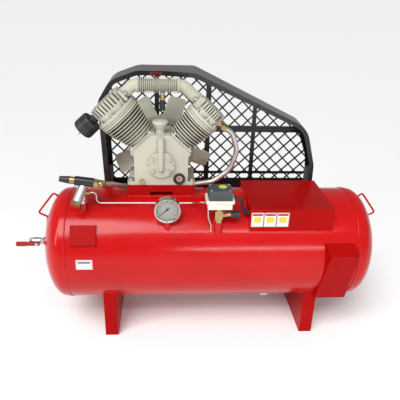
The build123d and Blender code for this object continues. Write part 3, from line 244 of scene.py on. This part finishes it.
PRINT_YELLOW = finish("print_yellow", (0.72, 0.55, 0.06), (0.66, 0.50, 0.05),
                      (0.35, 0.45), grain=500.0, relief=0.02)
PRINT_GREY = finish("print_grey", (0.16, 0.17, 0.18), (0.12, 0.13, 0.14),
                    (0.4, 0.5), grain=500.0, relief=0.02)
PLATE_DARK_RED = finish("plate_dark_red", (0.20, 0.010, 0.012), (0.15, 0.008, 0.009),
                        (0.3, 0.4), grain=500.0)

for part in frame["record"]["subparts"]:
    node = NODES[part["node"]]
    node.data.materials.clear()
    node.data.materials.append(MATERIALS[part["material_slot"]])


# ---------------------------------------------------------------- mesh helpers
def frame_at(origin, out, across=Vector((0, 1, 0))):
    """A placement with its z along out and its x as near across as it can be."""
    z = Vector(out).normalized()
    x = (Vector(across) - z * Vector(across).dot(z)).normalized()
    place = Matrix((x, z.cross(x), z)).transposed().to_4x4()
    place.translation = Vector(origin)
    return place


def ring_points(radius, height, count, turn=0.0):
    """Evenly spaced points round a circle."""
    steps = [turn + math.tau * index / count for index in range(count)]
    return [Vector((radius * math.cos(angle), radius * math.sin(angle), height)) for angle in steps]


def lathe(mesh, place, profile, count, turn=0.0):
    """Adds a closed solid turned from (radius, height) pairs, with its ends on the axis or joined up."""
    rings = []
    for radius, height in profile:
        ring = ring_points(radius, height, count, turn) if radius else [Vector((0, 0, height))]
        rings.append([mesh.verts.new(place @ point) for point in ring])
    pairs = list(zip(rings, rings[1:]))
    if profile[0][0]:
        pairs.append((rings[-1], rings[0]))
    for low, high in pairs:
        for index in range(count):
            after = (index + 1) % count
            corners = [low[index % len(low)], low[after % len(low)],
                       high[after % len(high)], high[index % len(high)]]
            mesh.faces.new(list(dict.fromkeys(corners)))


def rectangle(left, right, low, high):
    """The outline of a rectangle."""
    return [(left, low), (right, low), (right, high), (left, high)]


def add_plate(mesh, place, outline, low, high):
    """Adds a flat plate with the given outline between two heights."""
    bottom = [mesh.verts.new(place @ Vector((x, y, low))) for x, y in outline]
    top = [mesh.verts.new(place @ Vector((x, y, high))) for x, y in outline]
    mesh.faces.new(list(reversed(bottom)))
    mesh.faces.new(top)
    for index in range(len(outline)):
        after = (index + 1) % len(outline)
        mesh.faces.new((bottom[index], bottom[after], top[after], top[index]))


def chamfered_hexagon(mesh, place, across, height, bevel=0.12):
    """Adds a hexagonal head or nut with its corners turned off at the top."""
    radius = across / math.sqrt(3)
    cut = across * bevel
    outline = [(0, 0), (radius, 0), (radius, height - cut * 0.6), (radius - cut, height), (0, height)]
    lathe(mesh, place, outline, 6, math.pi / 6)


def shifted(place, x=0.0, y=0.0, z=0.0):
    """A placement moved along its own axes."""
    return place @ Matrix.Translation((x, y, z))


def nut_on_stud(mesh, place, across, height):
    """Adds a washer, a nut and the end of the stud through it."""
    washer, thick = across * 0.62, 1.6 * MM
    rim = [(0, 0), (washer, 0), (washer, thick - 0.4 * MM), (washer - 0.5 * MM, thick), (0, thick)]
    lathe(mesh, place, rim, 24)
    seat = thick - 0.1 * MM
    chamfered_hexagon(mesh, shifted(place, z=seat), across, height)
    stud = across * 0.3
    top = height + seat
    end = top + stud * 0.75
    profile = [(0, top - MM), (stud, top - MM), (stud, top + stud * 0.5), (stud * 0.7, end), (0, end)]
    lathe(mesh, place, profile, 20)


def screw_head(mesh, place, radius, height):
    """Adds a domed screw head with a cross cut in it."""
    steps = 5
    dome = [(radius * math.cos(math.pi / 2 * step / steps), height * math.sin(math.pi / 2 * step / steps))
            for step in range(steps)]
    slot = radius * 0.5
    profile = [(0, 0), *dome, (slot, height), (slot, height * 0.45), (0, height * 0.45)]
    lathe(mesh, place, profile, 24)
    for turn in (0, math.pi / 2):
        box_in(mesh, place @ Matrix.Rotation(turn, 4, "Z"), (slot * 0.98, slot * 0.16, height * 0.25),
               (0, 0, height * 0.62))


def box_in(mesh, place, half, centre):
    """Adds a box by its half sizes and centre in a placement."""
    matrix = place @ Matrix.Translation(centre) @ Matrix.Diagonal((*[2 * side for side in half], 1))
    bmesh.ops.create_cube(mesh, size=1.0, matrix=matrix)


def bead(mesh, path, radius, ripple=0.18, pitch=3.5 * MM, closed=True):
    """Adds a weld bead along a path of points: a tube whose thickness ripples as it goes."""
    sides = 8
    aside = Vector((0.31, 0.17, 0.93))
    count = len(path)
    travelled = 0.0
    rings = []
    for index, point in enumerate(path):
        before = path[index - 1] if index or closed else path[0]
        after = path[(index + 1) % count] if index < count - 1 or closed else path[-1]
        along = (after - before).normalized()
        if index:
            travelled += (point - path[index - 1]).length
        side = along.cross(aside).normalized()
        up = along.cross(side)
        thick = radius * (1 + ripple * math.sin(math.tau * travelled / pitch))
        ring = []
        for step in range(sides):
            angle = math.tau * step / sides
            ring.append(mesh.verts.new(point + (side * math.cos(angle) + up * math.sin(angle)) * thick))
        rings.append(ring)
    pairs = list(zip(rings, rings[1:]))
    if closed:
        pairs.append((rings[-1], rings[0]))
    for first, second in pairs:
        for step in range(sides):
            after = (step + 1) % sides
            mesh.faces.new((first[step], first[after], second[after], second[step]))
    if not closed:
        mesh.faces.new(reversed(rings[0]))
        mesh.faces.new(rings[-1])


def piece(name, mesh, slot, body="frame", material=None, bevel=0.0, smooth=40.0):
    """Makes a piece from a mesh, gives it its material, and puts it on its body."""
    bmesh.ops.recalc_face_normals(mesh, faces=mesh.faces)
    data = bpy.data.meshes.new(name)
    mesh.to_mesh(data)
    mesh.free()
    thing = bpy.data.objects.new(name, data)
    bpy.context.scene.collection.objects.link(thing)
    data.materials.append(material or MATERIALS[slot])
    data.shade_smooth()
    data.set_sharp_from_angle(angle=math.radians(smooth))
    if bevel:
        edge = thing.modifiers.new("edge", "BEVEL")
        edge.width = bevel
        edge.segments = 2
        edge.limit_method = "ANGLE"
    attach(thing, body)
    return thing


# ---------------------------------------------------------------- places worked out from the frame
def middle(name):
    """The middle of a node's box."""
    low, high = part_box(name)
    return (low + high) / 2


def cylinder_place(spec):
    """The frame of one cylinder: z out along its bore from the crank's axis, x towards the other's side."""
    wrist = Vector(JOINTS[spec["rod"]]["pos_m"])
    out = Vector(JOINTS[spec["slide"]]["axis"]).normalized()
    crank = Vector(JOINTS["crank_turn"]["pos_m"])
    origin = wrist - out * (wrist - Vector((crank.x, wrist.y, crank.z))).length
    return frame_at(origin, out, Vector((out.z, 0, -out.x)))


def tank_top(y, lift=0.0):
    """Height of the receiver's upper surface at a distance from its axis plane."""
    return TANK_AXIS_Z + math.sqrt((TANK_RADIUS + lift) ** 2 - y**2)


# ---------------------------------------------------------------- pump details
def make_cylinder_nuts():
    """Four nuts hold each barrel down on the crankcase."""
    mesh = bmesh.new()
    for spec in CYLINDERS.values():
        place = cylinder_place(spec)
        reach = spec["stud"]
        for x in (-reach, reach):
            for y in (-reach, reach):
                nut_on_stud(mesh, shifted(place, x, y, DECK_TOP), 14 * MM, 5.5 * MM)
    piece("cylinder_base_nuts", mesh, "steel")


def make_gaskets():
    """The edges of the gaskets below and above each valve plate."""
    mesh = bmesh.new()
    for spec in CYLINDERS.values():
        place = cylinder_place(spec)
        radius = spec["radius"]
        for height in (spec["top"], spec["top"] + VALVE_PLATE):
            low, high = height - GASKET_HALF, height + GASKET_HALF
            inner, outer = radius - 2 * MM, radius + 0.5 * MM
            edge = [(inner, low), (outer, low), (outer + 0.3 * MM, height), (outer, high), (inner, high)]
            lathe(mesh, place, edge, 72)
    piece("head_gaskets", mesh, "cable_black")


def make_elbow_nuts():
    """Two nuts on each elbow's flange."""
    mesh = bmesh.new()
    for name, spec in CYLINDERS.items():
        side = -1 if name == "low_pressure" else 1
        place = cylinder_place(spec)
        y = INTERCOOLER_Y - place.translation.y
        port = place @ Vector((-side * spec["port"], y, spec["top"] + PORT_HEIGHT))
        along = place.to_3x3() @ Vector((-side, 0, 0))
        flange = frame_at(port, along)
        for offset in (-30 * MM, 30 * MM):
            nut_on_stud(mesh, shifted(flange, offset, 0, 16 * MM), 12 * MM, 7 * MM)
    piece("elbow_flange_nuts", mesh, "steel")


def make_intercooler_collars():
    """The rolled collars where the finned tube enters each elbow."""
    mesh = bmesh.new()
    low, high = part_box("intercooler_tube")
    radius = 23 * MM
    for x, side in ((low.x, -1), (high.x, 1)):
        place = frame_at((x, INTERCOOLER_Y, INTERCOOLER_Z), (side, 0, 0))
        bulge = radius + 4.5 * MM
        collar = [(radius - MM, -MM), (radius + 3 * MM, 0), (bulge, 3 * MM), (bulge, 8 * MM),
                  (radius + 2 * MM, 11 * MM), (radius - MM, 12 * MM)]
        lathe(mesh, place, collar, 48)
    piece("intercooler_collars", mesh, "pump_paint")


def make_breather_grip():
    """Upright grip ribs round the filler cap, and the raised button on its top."""
    mesh = bmesh.new()
    low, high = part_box("breather_cap")
    centre = (low + high) / 2
    radius = (high.x - low.x) / 2
    ribs = 28
    for index in range(ribs):
        angle = math.tau * index / ribs
        out = Vector((math.cos(angle), math.sin(angle), 0))
        foot = Vector((centre.x, centre.y, high.z - 10 * MM)) + out * (radius - 0.6 * MM)
        place = frame_at(foot, (0, 0, 1), out)
        profile = [(0, 0), (1.5 * MM, 0.6 * MM), (1.6 * MM, 5 * MM), (1.0 * MM, 6.2 * MM), (0, 6.4 * MM)]
        lathe(mesh, place, profile, 8)
    button = [(0, 0), (14 * MM, 0), (14 * MM, 0.8 * MM), (12 * MM, 2 * MM), (3 * MM, 2.4 * MM), (0, 2.4 * MM)]
    lathe(mesh, frame_at((centre.x, centre.y, high.z - 0.5 * MM), (0, 0, 1)), button, 40)
    piece("breather_grip", mesh, "pump_paint", "breather")


def make_sight_star():
    """A white disc with red petals on the oil sight glass, and the glass's rolled rim."""
    low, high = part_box("sight_glass_lens")
    centre = middle("sight_glass_lens")
    radius = (high.x - low.x) / 2
    place = frame_at((centre.x, low.y, centre.z), (0, -1, 0), (1, 0, 0))
    disc = radius * 0.84
    mesh = bmesh.new()
    back, front = -0.2 * MM, 0.5 * MM
    lathe(mesh, place, [(0, back), (disc, back), (disc, 0.3 * MM), (disc * 0.94, front), (0, front)], 40)
    piece("sight_glass_disc", mesh, "dial_white")
    mesh = bmesh.new()
    petals = 5
    for index in range(petals):
        turned = place @ Matrix.Rotation(math.tau * (index + 0.25) / petals, 4, "Z")
        outline = [(0.10, -0.06), (0.50, -0.26), (0.90, 0.0), (0.50, 0.26), (0.10, 0.06)]
        add_plate(mesh, turned, [(x * disc, y * disc) for x, y in outline], 0.4 * MM, 0.8 * MM)
    piece("sight_glass_star", mesh, "lever_red", material=PRINT_RED, smooth=20.0)
    mesh = bmesh.new()
    rim = [(radius - 0.5 * MM, -0.5 * MM), (radius + 0.3 * MM, 2.2 * MM), (radius + 3 * MM, 4.6 * MM),
           (radius + 7 * MM, 4.4 * MM), (radius + 8.6 * MM, 2.5 * MM), (radius + 8.6 * MM, 0.5 * MM)]
    lathe(mesh, place, rim, 12)
    piece("sight_glass_rim", mesh, "black_plastic", bevel=0.3 * MM)


def make_filter_details():
    """Ribs round the intake filter's rim, and the wing nut that holds its lid."""
    spec = CYLINDERS["low_pressure"]
    place = cylinder_place(spec)
    centre = place @ Vector((-spec["port"], -6 * MM, spec["top"] + VALVE_PLATE + 45 * MM))
    out = place.to_3x3() @ Vector((-1, 0, 0))
    axis = frame_at(centre, out, (0, 1, 0))
    mesh = bmesh.new()
    ribs, radius, rib_middle, lid = 30, 40.6 * MM, 66 * MM, 87 * MM
    for index in range(ribs):
        turned = axis @ Matrix.Rotation(math.tau * index / ribs, 4, "Z")
        box_in(mesh, turned, (0.9 * MM, 1.4 * MM, 9 * MM), (radius, 0, rib_middle))
    piece("filter_ribs", mesh, "black_plastic", bevel=0.4 * MM)
    mesh = bmesh.new()
    end = shifted(axis, z=lid)
    lathe(mesh, end, [(0, -MM), (6 * MM, -MM), (6 * MM, 2 * MM), (4.5 * MM, 4 * MM), (0, 4 * MM)], 24)
    for side in (-1, 1):
        wing = end @ Matrix.Scale(side, 4, (1, 0, 0))
        outline = [(3, 0), (7, 0.5), (14, 4), (16, 8), (14, 11), (9, 10.5), (4, 5)]
        upright = wing @ Matrix.Rotation(math.pi / 2, 4, "X")
        add_plate(mesh, upright, [(x * MM, (y - 0.5) * MM) for x, y in outline], -1.1 * MM, 1.1 * MM)
    piece("filter_wing_nut", mesh, "black_plastic", bevel=0.4 * MM)


# ---------------------------------------------------------------- running gear details
def make_fan_bolts():
    """Six bolts clamp the fan to the flywheel."""
    crank = Vector(JOINTS["crank_turn"]["pos_m"])
    bolts, circle, hub_back = 6, 46 * MM, 200 * MM
    mesh = bmesh.new()
    for index in range(bolts):
        angle = math.tau * (index + 0.25) / bolts
        spot = Vector((crank.x + circle * math.cos(angle), hub_back, crank.z + circle * math.sin(angle)))
        nut_on_stud(mesh, frame_at(spot, (0, 1, 0), (1, 0, 0)), 13 * MM, 6 * MM)
    piece("fan_bolts", mesh, "steel", "crank")


# ---------------------------------------------------------------- instruments
def make_gauge_face():
    """Ticks, plain numbers and a rolled bezel for the pressure gauge."""
    low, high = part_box("gauge_dial")
    centre = middle("gauge_dial")
    front = frame_at((centre.x, low.y, centre.z), (0, -1, 0), (1, 0, 0))
    dial = (high.x - low.x) / 2
    start, sweep, majors, minors = math.radians(225), math.radians(270), 8, 5
    outer, arc_steps, ink = dial * 0.90, 60, 0.25 * MM
    mesh = bmesh.new()
    for index in range(majors * minors + 1):
        angle = start - sweep * index / (majors * minors)
        major = index % minors == 0
        length, half = (8 * MM, 0.75 * MM) if major else (4.5 * MM, 0.35 * MM)
        turned = front @ Matrix.Rotation(angle, 4, "Z")
        add_plate(mesh, turned, rectangle(outer - length, outer, -half, half), 0.0, ink)
    arc = [start - sweep * step / arc_steps for step in range(arc_steps + 1)]
    ring = [(dial * 0.915 * math.cos(a), dial * 0.915 * math.sin(a)) for a in arc]
    ring += [(outer * math.cos(a), outer * math.sin(a)) for a in reversed(arc)]
    add_plate(mesh, front, ring, 0.0, ink)
    for index in range(majors + 1):
        angle = start - sweep * index / majors
        spot = front @ Vector((dial * 0.60 * math.cos(angle), dial * 0.60 * math.sin(angle), 0))
        add_number(mesh, str(index * 2), spot, 8.0 * MM)
    piece("gauge_scale", mesh, "needle_black", smooth=20.0)

    rim_low, rim_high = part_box("gauge_case")
    outer = (rim_high.x - rim_low.x) / 2
    place = frame_at((centre.x, rim_low.y, centre.z), (0, -1, 0), (1, 0, 0))
    mesh = bmesh.new()
    bezel = [(outer - 6 * MM, -2 * MM), (outer - 6.6 * MM, -0.5 * MM), (outer - 5 * MM, 0.8 * MM),
             (outer - 2.5 * MM, 1.6 * MM), (outer - 0.4 * MM, 1.1 * MM), (outer + 0.8 * MM, -0.6 * MM),
             (outer + 1.0 * MM, -5 * MM), (outer + 0.2 * MM, -6.5 * MM), (outer - 0.6 * MM, -6.5 * MM),
             (outer - 0.6 * MM, -2 * MM)]
    lathe(mesh, place, bezel, 96)
    piece("gauge_bezel", mesh, "gauge_chrome")


def add_number(mesh, text, spot, size):
    """Adds a thin raised number that faces -Y, centred on a place."""
    curve = bpy.data.curves.new("number", "FONT")
    curve.body = text
    curve.size = size
    curve.align_x, curve.align_y = "CENTER", "CENTER"
    curve.extrude = 0.12 * MM
    writing = bpy.data.objects.new("number", curve)
    shape = bpy.data.meshes.new_from_object(writing)
    shape.transform(Matrix.Translation(spot) @ Matrix.Rotation(math.pi / 2, 4, "X"))
    mesh.from_mesh(shape)
    bpy.data.objects.remove(writing)
    bpy.data.curves.remove(curve)
    bpy.data.meshes.remove(shape)


def make_switch_details():
    """The pressure switch's cover screws, its moulded ribs, and the ring and marks of its knob."""
    low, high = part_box("switch_cover")
    end_ribs, front_ribs, arrows = 9, 12, 3
    mesh = bmesh.new()
    for x in (low.x + 9 * MM, high.x - 9 * MM):
        for y in (low.y + 9 * MM, high.y - 9 * MM):
            screw_head(mesh, frame_at((x, y, high.z - 0.2 * MM), (0, 0, 1)), 4 * MM, 2.2 * MM)
    piece("switch_cover_screws", mesh, "steel")
    mesh = bmesh.new()
    for side, x in ((-1, low.x), (1, high.x)):
        for index in range(end_ribs):
            y = low.y + 14 * MM + (high.y - low.y - 28 * MM) * index / (end_ribs - 1)
            place = frame_at((x, y, low.z + 3 * MM), (0, 0, 1), (side, 0, 0))
            box_in(mesh, place, (1.1 * MM, 1.3 * MM, 13 * MM), (0.5 * MM, 0, 13 * MM))
    for index in range(front_ribs):
        x = low.x + 12 * MM + (high.x - low.x - 24 * MM) * index / (front_ribs - 1)
        place = frame_at((x, low.y, low.z + 3 * MM), (0, 0, 1), (0, -1, 0))
        box_in(mesh, place, (1.1 * MM, 1.3 * MM, 5 * MM), (0.4 * MM, 0, 5 * MM))
    piece("switch_cover_ribs", mesh, "switch_grey", bevel=0.5 * MM)
    knob_low, knob_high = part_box("switch_knob")
    centre = (knob_low + knob_high) / 2
    radius = (knob_high.x - knob_low.x) / 2
    mesh = bmesh.new()
    collar = [(radius + 0.6 * MM, -0.5 * MM), (radius + 0.6 * MM, 1.8 * MM), (radius + 2.6 * MM, 1.8 * MM),
              (radius + 4 * MM, -0.5 * MM)]
    lathe(mesh, frame_at((centre.x, centre.y, high.z), (0, 0, 1)), collar, 48)
    piece("switch_knob_collar", mesh, "switch_grey")
    mesh = bmesh.new()
    top = frame_at((centre.x, centre.y, knob_high.z - 0.1 * MM), (0, 0, 1))
    lathe(mesh, top, [(0, 0), (3 * MM, 0), (3 * MM, 0.5 * MM), (0, 0.8 * MM)], 24)
    for index in range(arrows):
        turned = top @ Matrix.Rotation(math.tau * index / arrows, 4, "Z")
        arrow = [(5, -1.1), (9, -1.1), (9, -2.8), (12.5, 0), (9, 2.8), (9, 1.1), (5, 1.1)]
        add_plate(mesh, turned, [(x * MM, y * MM) for x, y in arrow], 0, 0.5 * MM)
    piece("switch_knob_marks", mesh, "knob_yellow", "switch_knob", bevel=0.15 * MM)


def make_gland_nuts():
    """Ribbed gland nuts where the cable leaves the switch and enters the box."""
    mesh = bmesh.new()
    inner, outer, length = 9.4 * MM, 12.5 * MM, 7 * MM
    chamfered_tube = [(inner, 0), (outer, 0), (outer, 5.5 * MM), (11 * MM, length), (inner, length)]
    switch_end = (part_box("switch_base")[1].x, *SWITCH_GLAND, 1)
    box_end = (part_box("motor_platform")[0].x, *BOX_GLAND, -1)
    for x, y, z, side in (switch_end, box_end):
        place = frame_at((x + side * 2 * MM, y, z), (side, 0, 0), (0, 1, 0))
        lathe(mesh, place, chamfered_tube, 8)
    piece("cable_gland_nuts", mesh, "cable_black")


# ---------------------------------------------------------------- labels
def make_labels():
    """A printed border, a band and a plain panel on each of the motor platform's three blank labels."""
    width, height, pitch = 46 * MM, 59 * MM, 49 * MM
    first, bottom = 139 * MM, 506 * MM
    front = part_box("motor_platform")[0].y - 0.8 * MM
    band, panel_x, panel_y = 9 * MM, 15 * MM, 12 * MM
    frames, bands, panels = bmesh.new(), bmesh.new(), bmesh.new()
    for index in range(3):
        left = first + pitch * index
        place = frame_at((left + width / 2, front, bottom + height / 2), (0, -1, 0), (1, 0, 0))
        add_frame(frames, place, width / 2 - 1.5 * MM, height / 2 - 1.5 * MM, 1.0 * MM)
        y = height / 2 - 13 * MM
        x = width / 2 - 3.5 * MM
        add_plate(bands, place, rectangle(-x, x, y, y + band), 0, PRINT_THICK)
        add_plate(panels, place, rectangle(-panel_x, panel_x, -panel_y, panel_y), 0, PRINT_THICK)
    piece("label_borders", frames, "needle_black", material=PRINT_GREY, smooth=20.0)
    piece("label_bands", bands, "label_white", material=PRINT_RED, smooth=20.0)
    piece("label_panels", panels, "label_white", material=PRINT_YELLOW, smooth=20.0)
    make_tank_label()


def make_tank_label():
    """A printed border and a bar that follow the receiver's curve on its own blank label."""
    left, right = -520 * MM, -459 * MM
    low_z, high_z = 352 * MM, 391 * MM
    inset, line, lift = 2.5 * MM, 1.2 * MM, 0.95 * MM
    mesh = bmesh.new()
    for z0, z1, x0, x1 in (
        (low_z + inset, low_z + inset + line, left + inset, right - inset),
        (high_z - inset - line, high_z - inset, left + inset, right - inset),
        (low_z + inset + line, high_z - inset - line, left + inset, left + inset + line),
        (low_z + inset + line, high_z - inset - line, right - inset - line, right - inset),
        (high_z - 14 * MM, high_z - 7 * MM, left + 7 * MM, right - 7 * MM),
    ):
        add_wrapped(mesh, x0, x1, z0, z1, lift)
    piece("tank_label_print", mesh, "needle_black", material=PRINT_GREY, smooth=20.0)


def add_wrapped(mesh, left, right, low_z, high_z, lift):
    """Adds a thin strip on the front of the receiver's curve, between two heights."""
    steps = max(2, int((high_z - low_z) / (2 * MM)))
    inner, outer = [TANK_RADIUS + height for height in (0.5 * MM, lift)]
    rows = []
    for step in range(steps + 1):
        z = low_z + (high_z - low_z) * step / steps
        rise = z - TANK_AXIS_Z
        rows.append([mesh.verts.new((x, -math.sqrt(radius**2 - rise**2), z))
                     for radius, x in ((inner, left), (inner, right), (outer, right), (outer, left))])
    for first, second in zip(rows, rows[1:]):
        for corner in range(4):
            after = (corner + 1) % 4
            mesh.faces.new((first[corner], first[after], second[after], second[corner]))
    mesh.faces.new(reversed(rows[0]))
    mesh.faces.new(rows[-1])


def add_frame(mesh, place, half_x, half_y, line):
    """Adds a thin printed rectangle, open in the middle."""
    half = line / 2
    inner = half_y - half
    for sign in (-1, 1):
        x, y = sign * half_x, sign * half_y
        add_plate(mesh, place, rectangle(-half_x, half_x, y - half, y + half), 0, PRINT_THICK)
        add_plate(mesh, place, rectangle(x - half, x + half, -inner, inner), 0, PRINT_THICK)


def make_guard_plate():
    """A small blank plate riveted to the top of the guard's rim."""
    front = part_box("guard_rim")[0].y
    place = frame_at((-222.5 * MM, front, 1019 * MM), (0, -1, 0), (1, 0, 0))
    mesh = bmesh.new()
    corners = [(-23.5, -5), (-22.5, -6), (22.5, -6), (23.5, -5), (23.5, 5), (22.5, 6), (-22.5, 6), (-23.5, 5)]
    add_plate(mesh, place, [(x * MM, y * MM) for x, y in corners], 0, 0.9 * MM)
    piece("guard_plate", mesh, "label_white", material=PLATE_DARK_RED, bevel=0.2 * MM)
    mesh = bmesh.new()
    for x in (-20, 20):
        spot = shifted(place, x * MM, 0, 0.8 * MM)
        rivet = [(0, 0), (1.6 * MM, 0), (1.4 * MM, 0.6 * MM), (0.8 * MM, 1.0 * MM), (0, 1.1 * MM)]
        lathe(mesh, spot, rivet, 16)
    piece("guard_plate_rivets", mesh, "steel")


# ---------------------------------------------------------------- guard
def make_guard_screws():
    """Pan-head screws through the guard's rim into its band, along both sides, the top and the slope."""
    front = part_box("guard_rim")[0].y
    spots = [(-436, 560), (-443, 700), (-448, 840), (-385, 985), (-100, 1016),
             (60, 956), (190, 896), (320, 837), (436, 690), (447, 560)]
    mesh = bmesh.new()
    for x, z in spots:
        screw_head(mesh, frame_at((x * MM, front, z * MM), (0, -1, 0), (1, 0, 0)), 4.5 * MM, 2.5 * MM)
    piece("guard_screws", mesh, "guard_black")


# ---------------------------------------------------------------- welds and the outlet
def make_welds():
    """Beads where the sockets, feet and platforms meet the receiver."""
    mesh = bmesh.new()
    weld_sockets(mesh)
    weld_platforms(mesh)
    weld_feet(mesh)
    piece("weld_beads", mesh, "receiver_red")


def weld_sockets(mesh):
    """A ring of weld round each socket on the receiver's top."""
    steps = 48
    for x, y, radius in WELD_SOCKETS:
        path = []
        for step in range(steps):
            angle = math.tau * step / steps
            along = y + (radius + MM) * math.sin(angle)
            path.append(Vector((x + (radius + MM) * math.cos(angle), along, tank_top(along))))
        bead(mesh, path, 2.6 * MM)


def weld_platforms(mesh):
    """Welds along both platforms, and across the ends of the motor's."""
    radius = 2.4 * MM
    for name in ("pump_platform", "motor_platform"):
        low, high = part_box(name)
        steps = int((high.x - low.x) / WELD_STEP)
        for y in (low.y, high.y):
            edge = y + math.copysign(WELD_OUT, y)
            top = tank_top(edge, WELD_OUT)
            along = [low.x + (high.x - low.x) * step / steps for step in range(steps + 1)]
            bead(mesh, [Vector((x, edge, top)) for x in along], radius, closed=False)
    low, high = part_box("motor_platform")
    steps = 130
    across = [low.y + (high.y - low.y) * step / steps for step in range(steps + 1)]
    for x in (low.x, high.x):
        bead(mesh, [Vector((x, y, tank_top(y, 0.3 * MM))) for y in across], radius, closed=False)


def weld_feet(mesh):
    """Welds along each foot's inner edge and its two ends."""
    radius, arc_steps, end_steps = 2.8 * MM, 180, 26
    swing = math.asin(FOOT_REACH / TANK_RADIUS)
    foot_top = TANK_AXIS_Z - math.sqrt(TANK_RADIUS**2 - FOOT_REACH**2)
    turns = [-swing + 2 * swing * step / arc_steps for step in range(arc_steps + 1)]
    arc = [(TANK_RADIUS * math.sin(turn), TANK_AXIS_Z - TANK_RADIUS * math.cos(turn)) for turn in turns]
    for side in (-1, 1):
        inner = side * (FOOT_INNER_X - 0.6 * MM)
        bead(mesh, [Vector((inner, y, z)) for y, z in arc], radius, closed=False)
        across = [side * (FOOT_INNER_X + FOOT_WIDTH * step / end_steps) for step in range(end_steps + 1)]
        for end in (-1, 1):
            edge = end * (FOOT_REACH + WELD_OUT)
            bead(mesh, [Vector((x, edge, foot_top)) for x in across], radius, closed=False)


def make_outlet_details():
    """The lever's nut and the ribs of its dipped grip."""
    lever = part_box("outlet_lever")[0]
    ribs, pitch, width = 8, 4.4 * MM, 8 * MM
    pivot = Vector(JOINTS["outlet_lever_turn"]["pos_m"])
    mesh = bmesh.new()
    place = frame_at((pivot.x, lever.y + 2.5 * MM, pivot.z), (0, -1, 0), (1, 0, 0))
    chamfered_hexagon(mesh, place, 13 * MM, 5 * MM)
    piece("outlet_lever_nut", mesh, "steel", "outlet_handle")
    mesh = bmesh.new()
    for index in range(ribs):
        x = lever.x + 5 * MM + index * pitch
        for y in (lever.y, lever.y + width):
            box_in(mesh, Matrix.Translation((x, y, pivot.z)), (0.9 * MM, 0.5 * MM, 7 * MM), (0, 0, 0))
    piece("outlet_lever_ribs", mesh, "lever_red", "outlet_handle", bevel=0.3 * MM)


def make_relief_grips():
    """Ribs round the black caps of the receiver's and the interstage relief valves."""
    ribs = 18
    caps = (
        ("tank_relief_cap", "tank_cap", (1, 0, 0)),
        ("interstage_relief_cap", "interstage_cap", (0, 0, -1)),
    )
    for node, body, out in caps:
        low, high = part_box(node)
        centre = (low + high) / 2
        out = Vector(out)
        length = abs((high - low).dot(out))
        radius = (high.y - low.y) / 2
        start = centre - out * (length / 2 - 5 * MM)
        mesh = bmesh.new()
        place = frame_at(start, out, (0, 1, 0))
        for index in range(ribs):
            turned = place @ Matrix.Rotation(math.tau * index / ribs, 4, "Z")
            box_in(mesh, turned, (0.7 * MM, 0.9 * MM, length / 2 - 7 * MM), (radius, 0, length / 2 - 5 * MM))
        piece(f"{node}_ribs", mesh, "black_plastic", body, bevel=0.3 * MM)


make_cylinder_nuts()
make_gaskets()
make_elbow_nuts()
make_intercooler_collars()
make_breather_grip()
make_sight_star()
make_filter_details()
make_fan_bolts()
make_gauge_face()
make_switch_details()
make_gland_nuts()
make_labels()
make_guard_plate()
make_guard_screws()
make_welds()
make_outlet_details()
make_relief_grips()


# ---------------------------------------------------------------- room, light and camera
def make_room():
    """A wide plain floor and even light from all round."""
    bpy.ops.mesh.primitive_plane_add(size=FLOOR_SIZE)
    floor = bpy.context.object
    floor.name = "floor"
    floor.data.materials.append(finish("floor", FLOOR_COLOR, FLOOR_COLOR, (0.6, 0.7), relief=0.0))
    world = bpy.data.worlds.new("studio")
    world.use_nodes = True
    world.node_tree.nodes["Background"].inputs["Color"].default_value = (1, 1, 1, 1)
    world.node_tree.nodes["Background"].inputs["Strength"].default_value = WORLD_LIGHT
    bpy.context.scene.world = world


def area_light(name, place, target, size, power):
    """A soft rectangular lamp that points at a target."""
    light = bpy.data.lights.new(name, "AREA")
    light.shape = "RECTANGLE"
    light.size, light.size_y = size
    light.energy = power
    lamp = bpy.data.objects.new(name, light)
    lamp.location = place
    lamp.rotation_euler = (Vector(target) - Vector(place)).to_track_quat("-Z", "Y").to_euler()
    bpy.context.scene.collection.objects.link(lamp)


def sun_light():
    """A wide soft sun, which lights the floor evenly as far as the camera sees."""
    light = bpy.data.lights.new("sun", "SUN")
    light.energy = SUN_LIGHT
    light.angle = SUN_WIDTH
    lamp = bpy.data.objects.new("sun", light)
    lamp.rotation_euler = SUN_TURN
    bpy.context.scene.collection.objects.link(lamp)


def make_camera():
    """The camera, turned by its yaw, pitch and roll."""
    forward = Vector((
        math.sin(CAMERA_YAW) * math.cos(CAMERA_PITCH),
        math.cos(CAMERA_YAW) * math.cos(CAMERA_PITCH),
        -math.sin(CAMERA_PITCH),
    ))
    level = Vector((math.cos(CAMERA_YAW), -math.sin(CAMERA_YAW), 0))
    upright = level.cross(forward)
    right = level * math.cos(CAMERA_ROLL) + upright * math.sin(CAMERA_ROLL)
    up = upright * math.cos(CAMERA_ROLL) - level * math.sin(CAMERA_ROLL)
    data = bpy.data.cameras.new("camera")
    data.lens = CAMERA_LENS
    data.sensor_width = CAMERA_SENSOR
    camera = bpy.data.objects.new("camera", data)
    turn = Matrix((right, up, -forward)).transposed()
    camera.matrix_world = Matrix.Translation(CAMERA_AT) @ turn.to_4x4()
    bpy.context.scene.collection.objects.link(camera)
    bpy.context.scene.camera = camera


make_room()
sun_light()
area_light("strip", (0.55, -2.25, 0.84), (0.2, -0.2, 0.43), (1.2, 0.09), 8)
area_light("top", (0.5, -1.9, 2.3), (0.2, 0, 0.45), (1.5, 0.16), 10)
area_light("side", (-2.4, -1.4, 1.6), (-0.3, 0, 0.5), (0.25, 1.4), 14)
make_camera()
bpy.context.scene.view_settings.view_transform = "Standard"
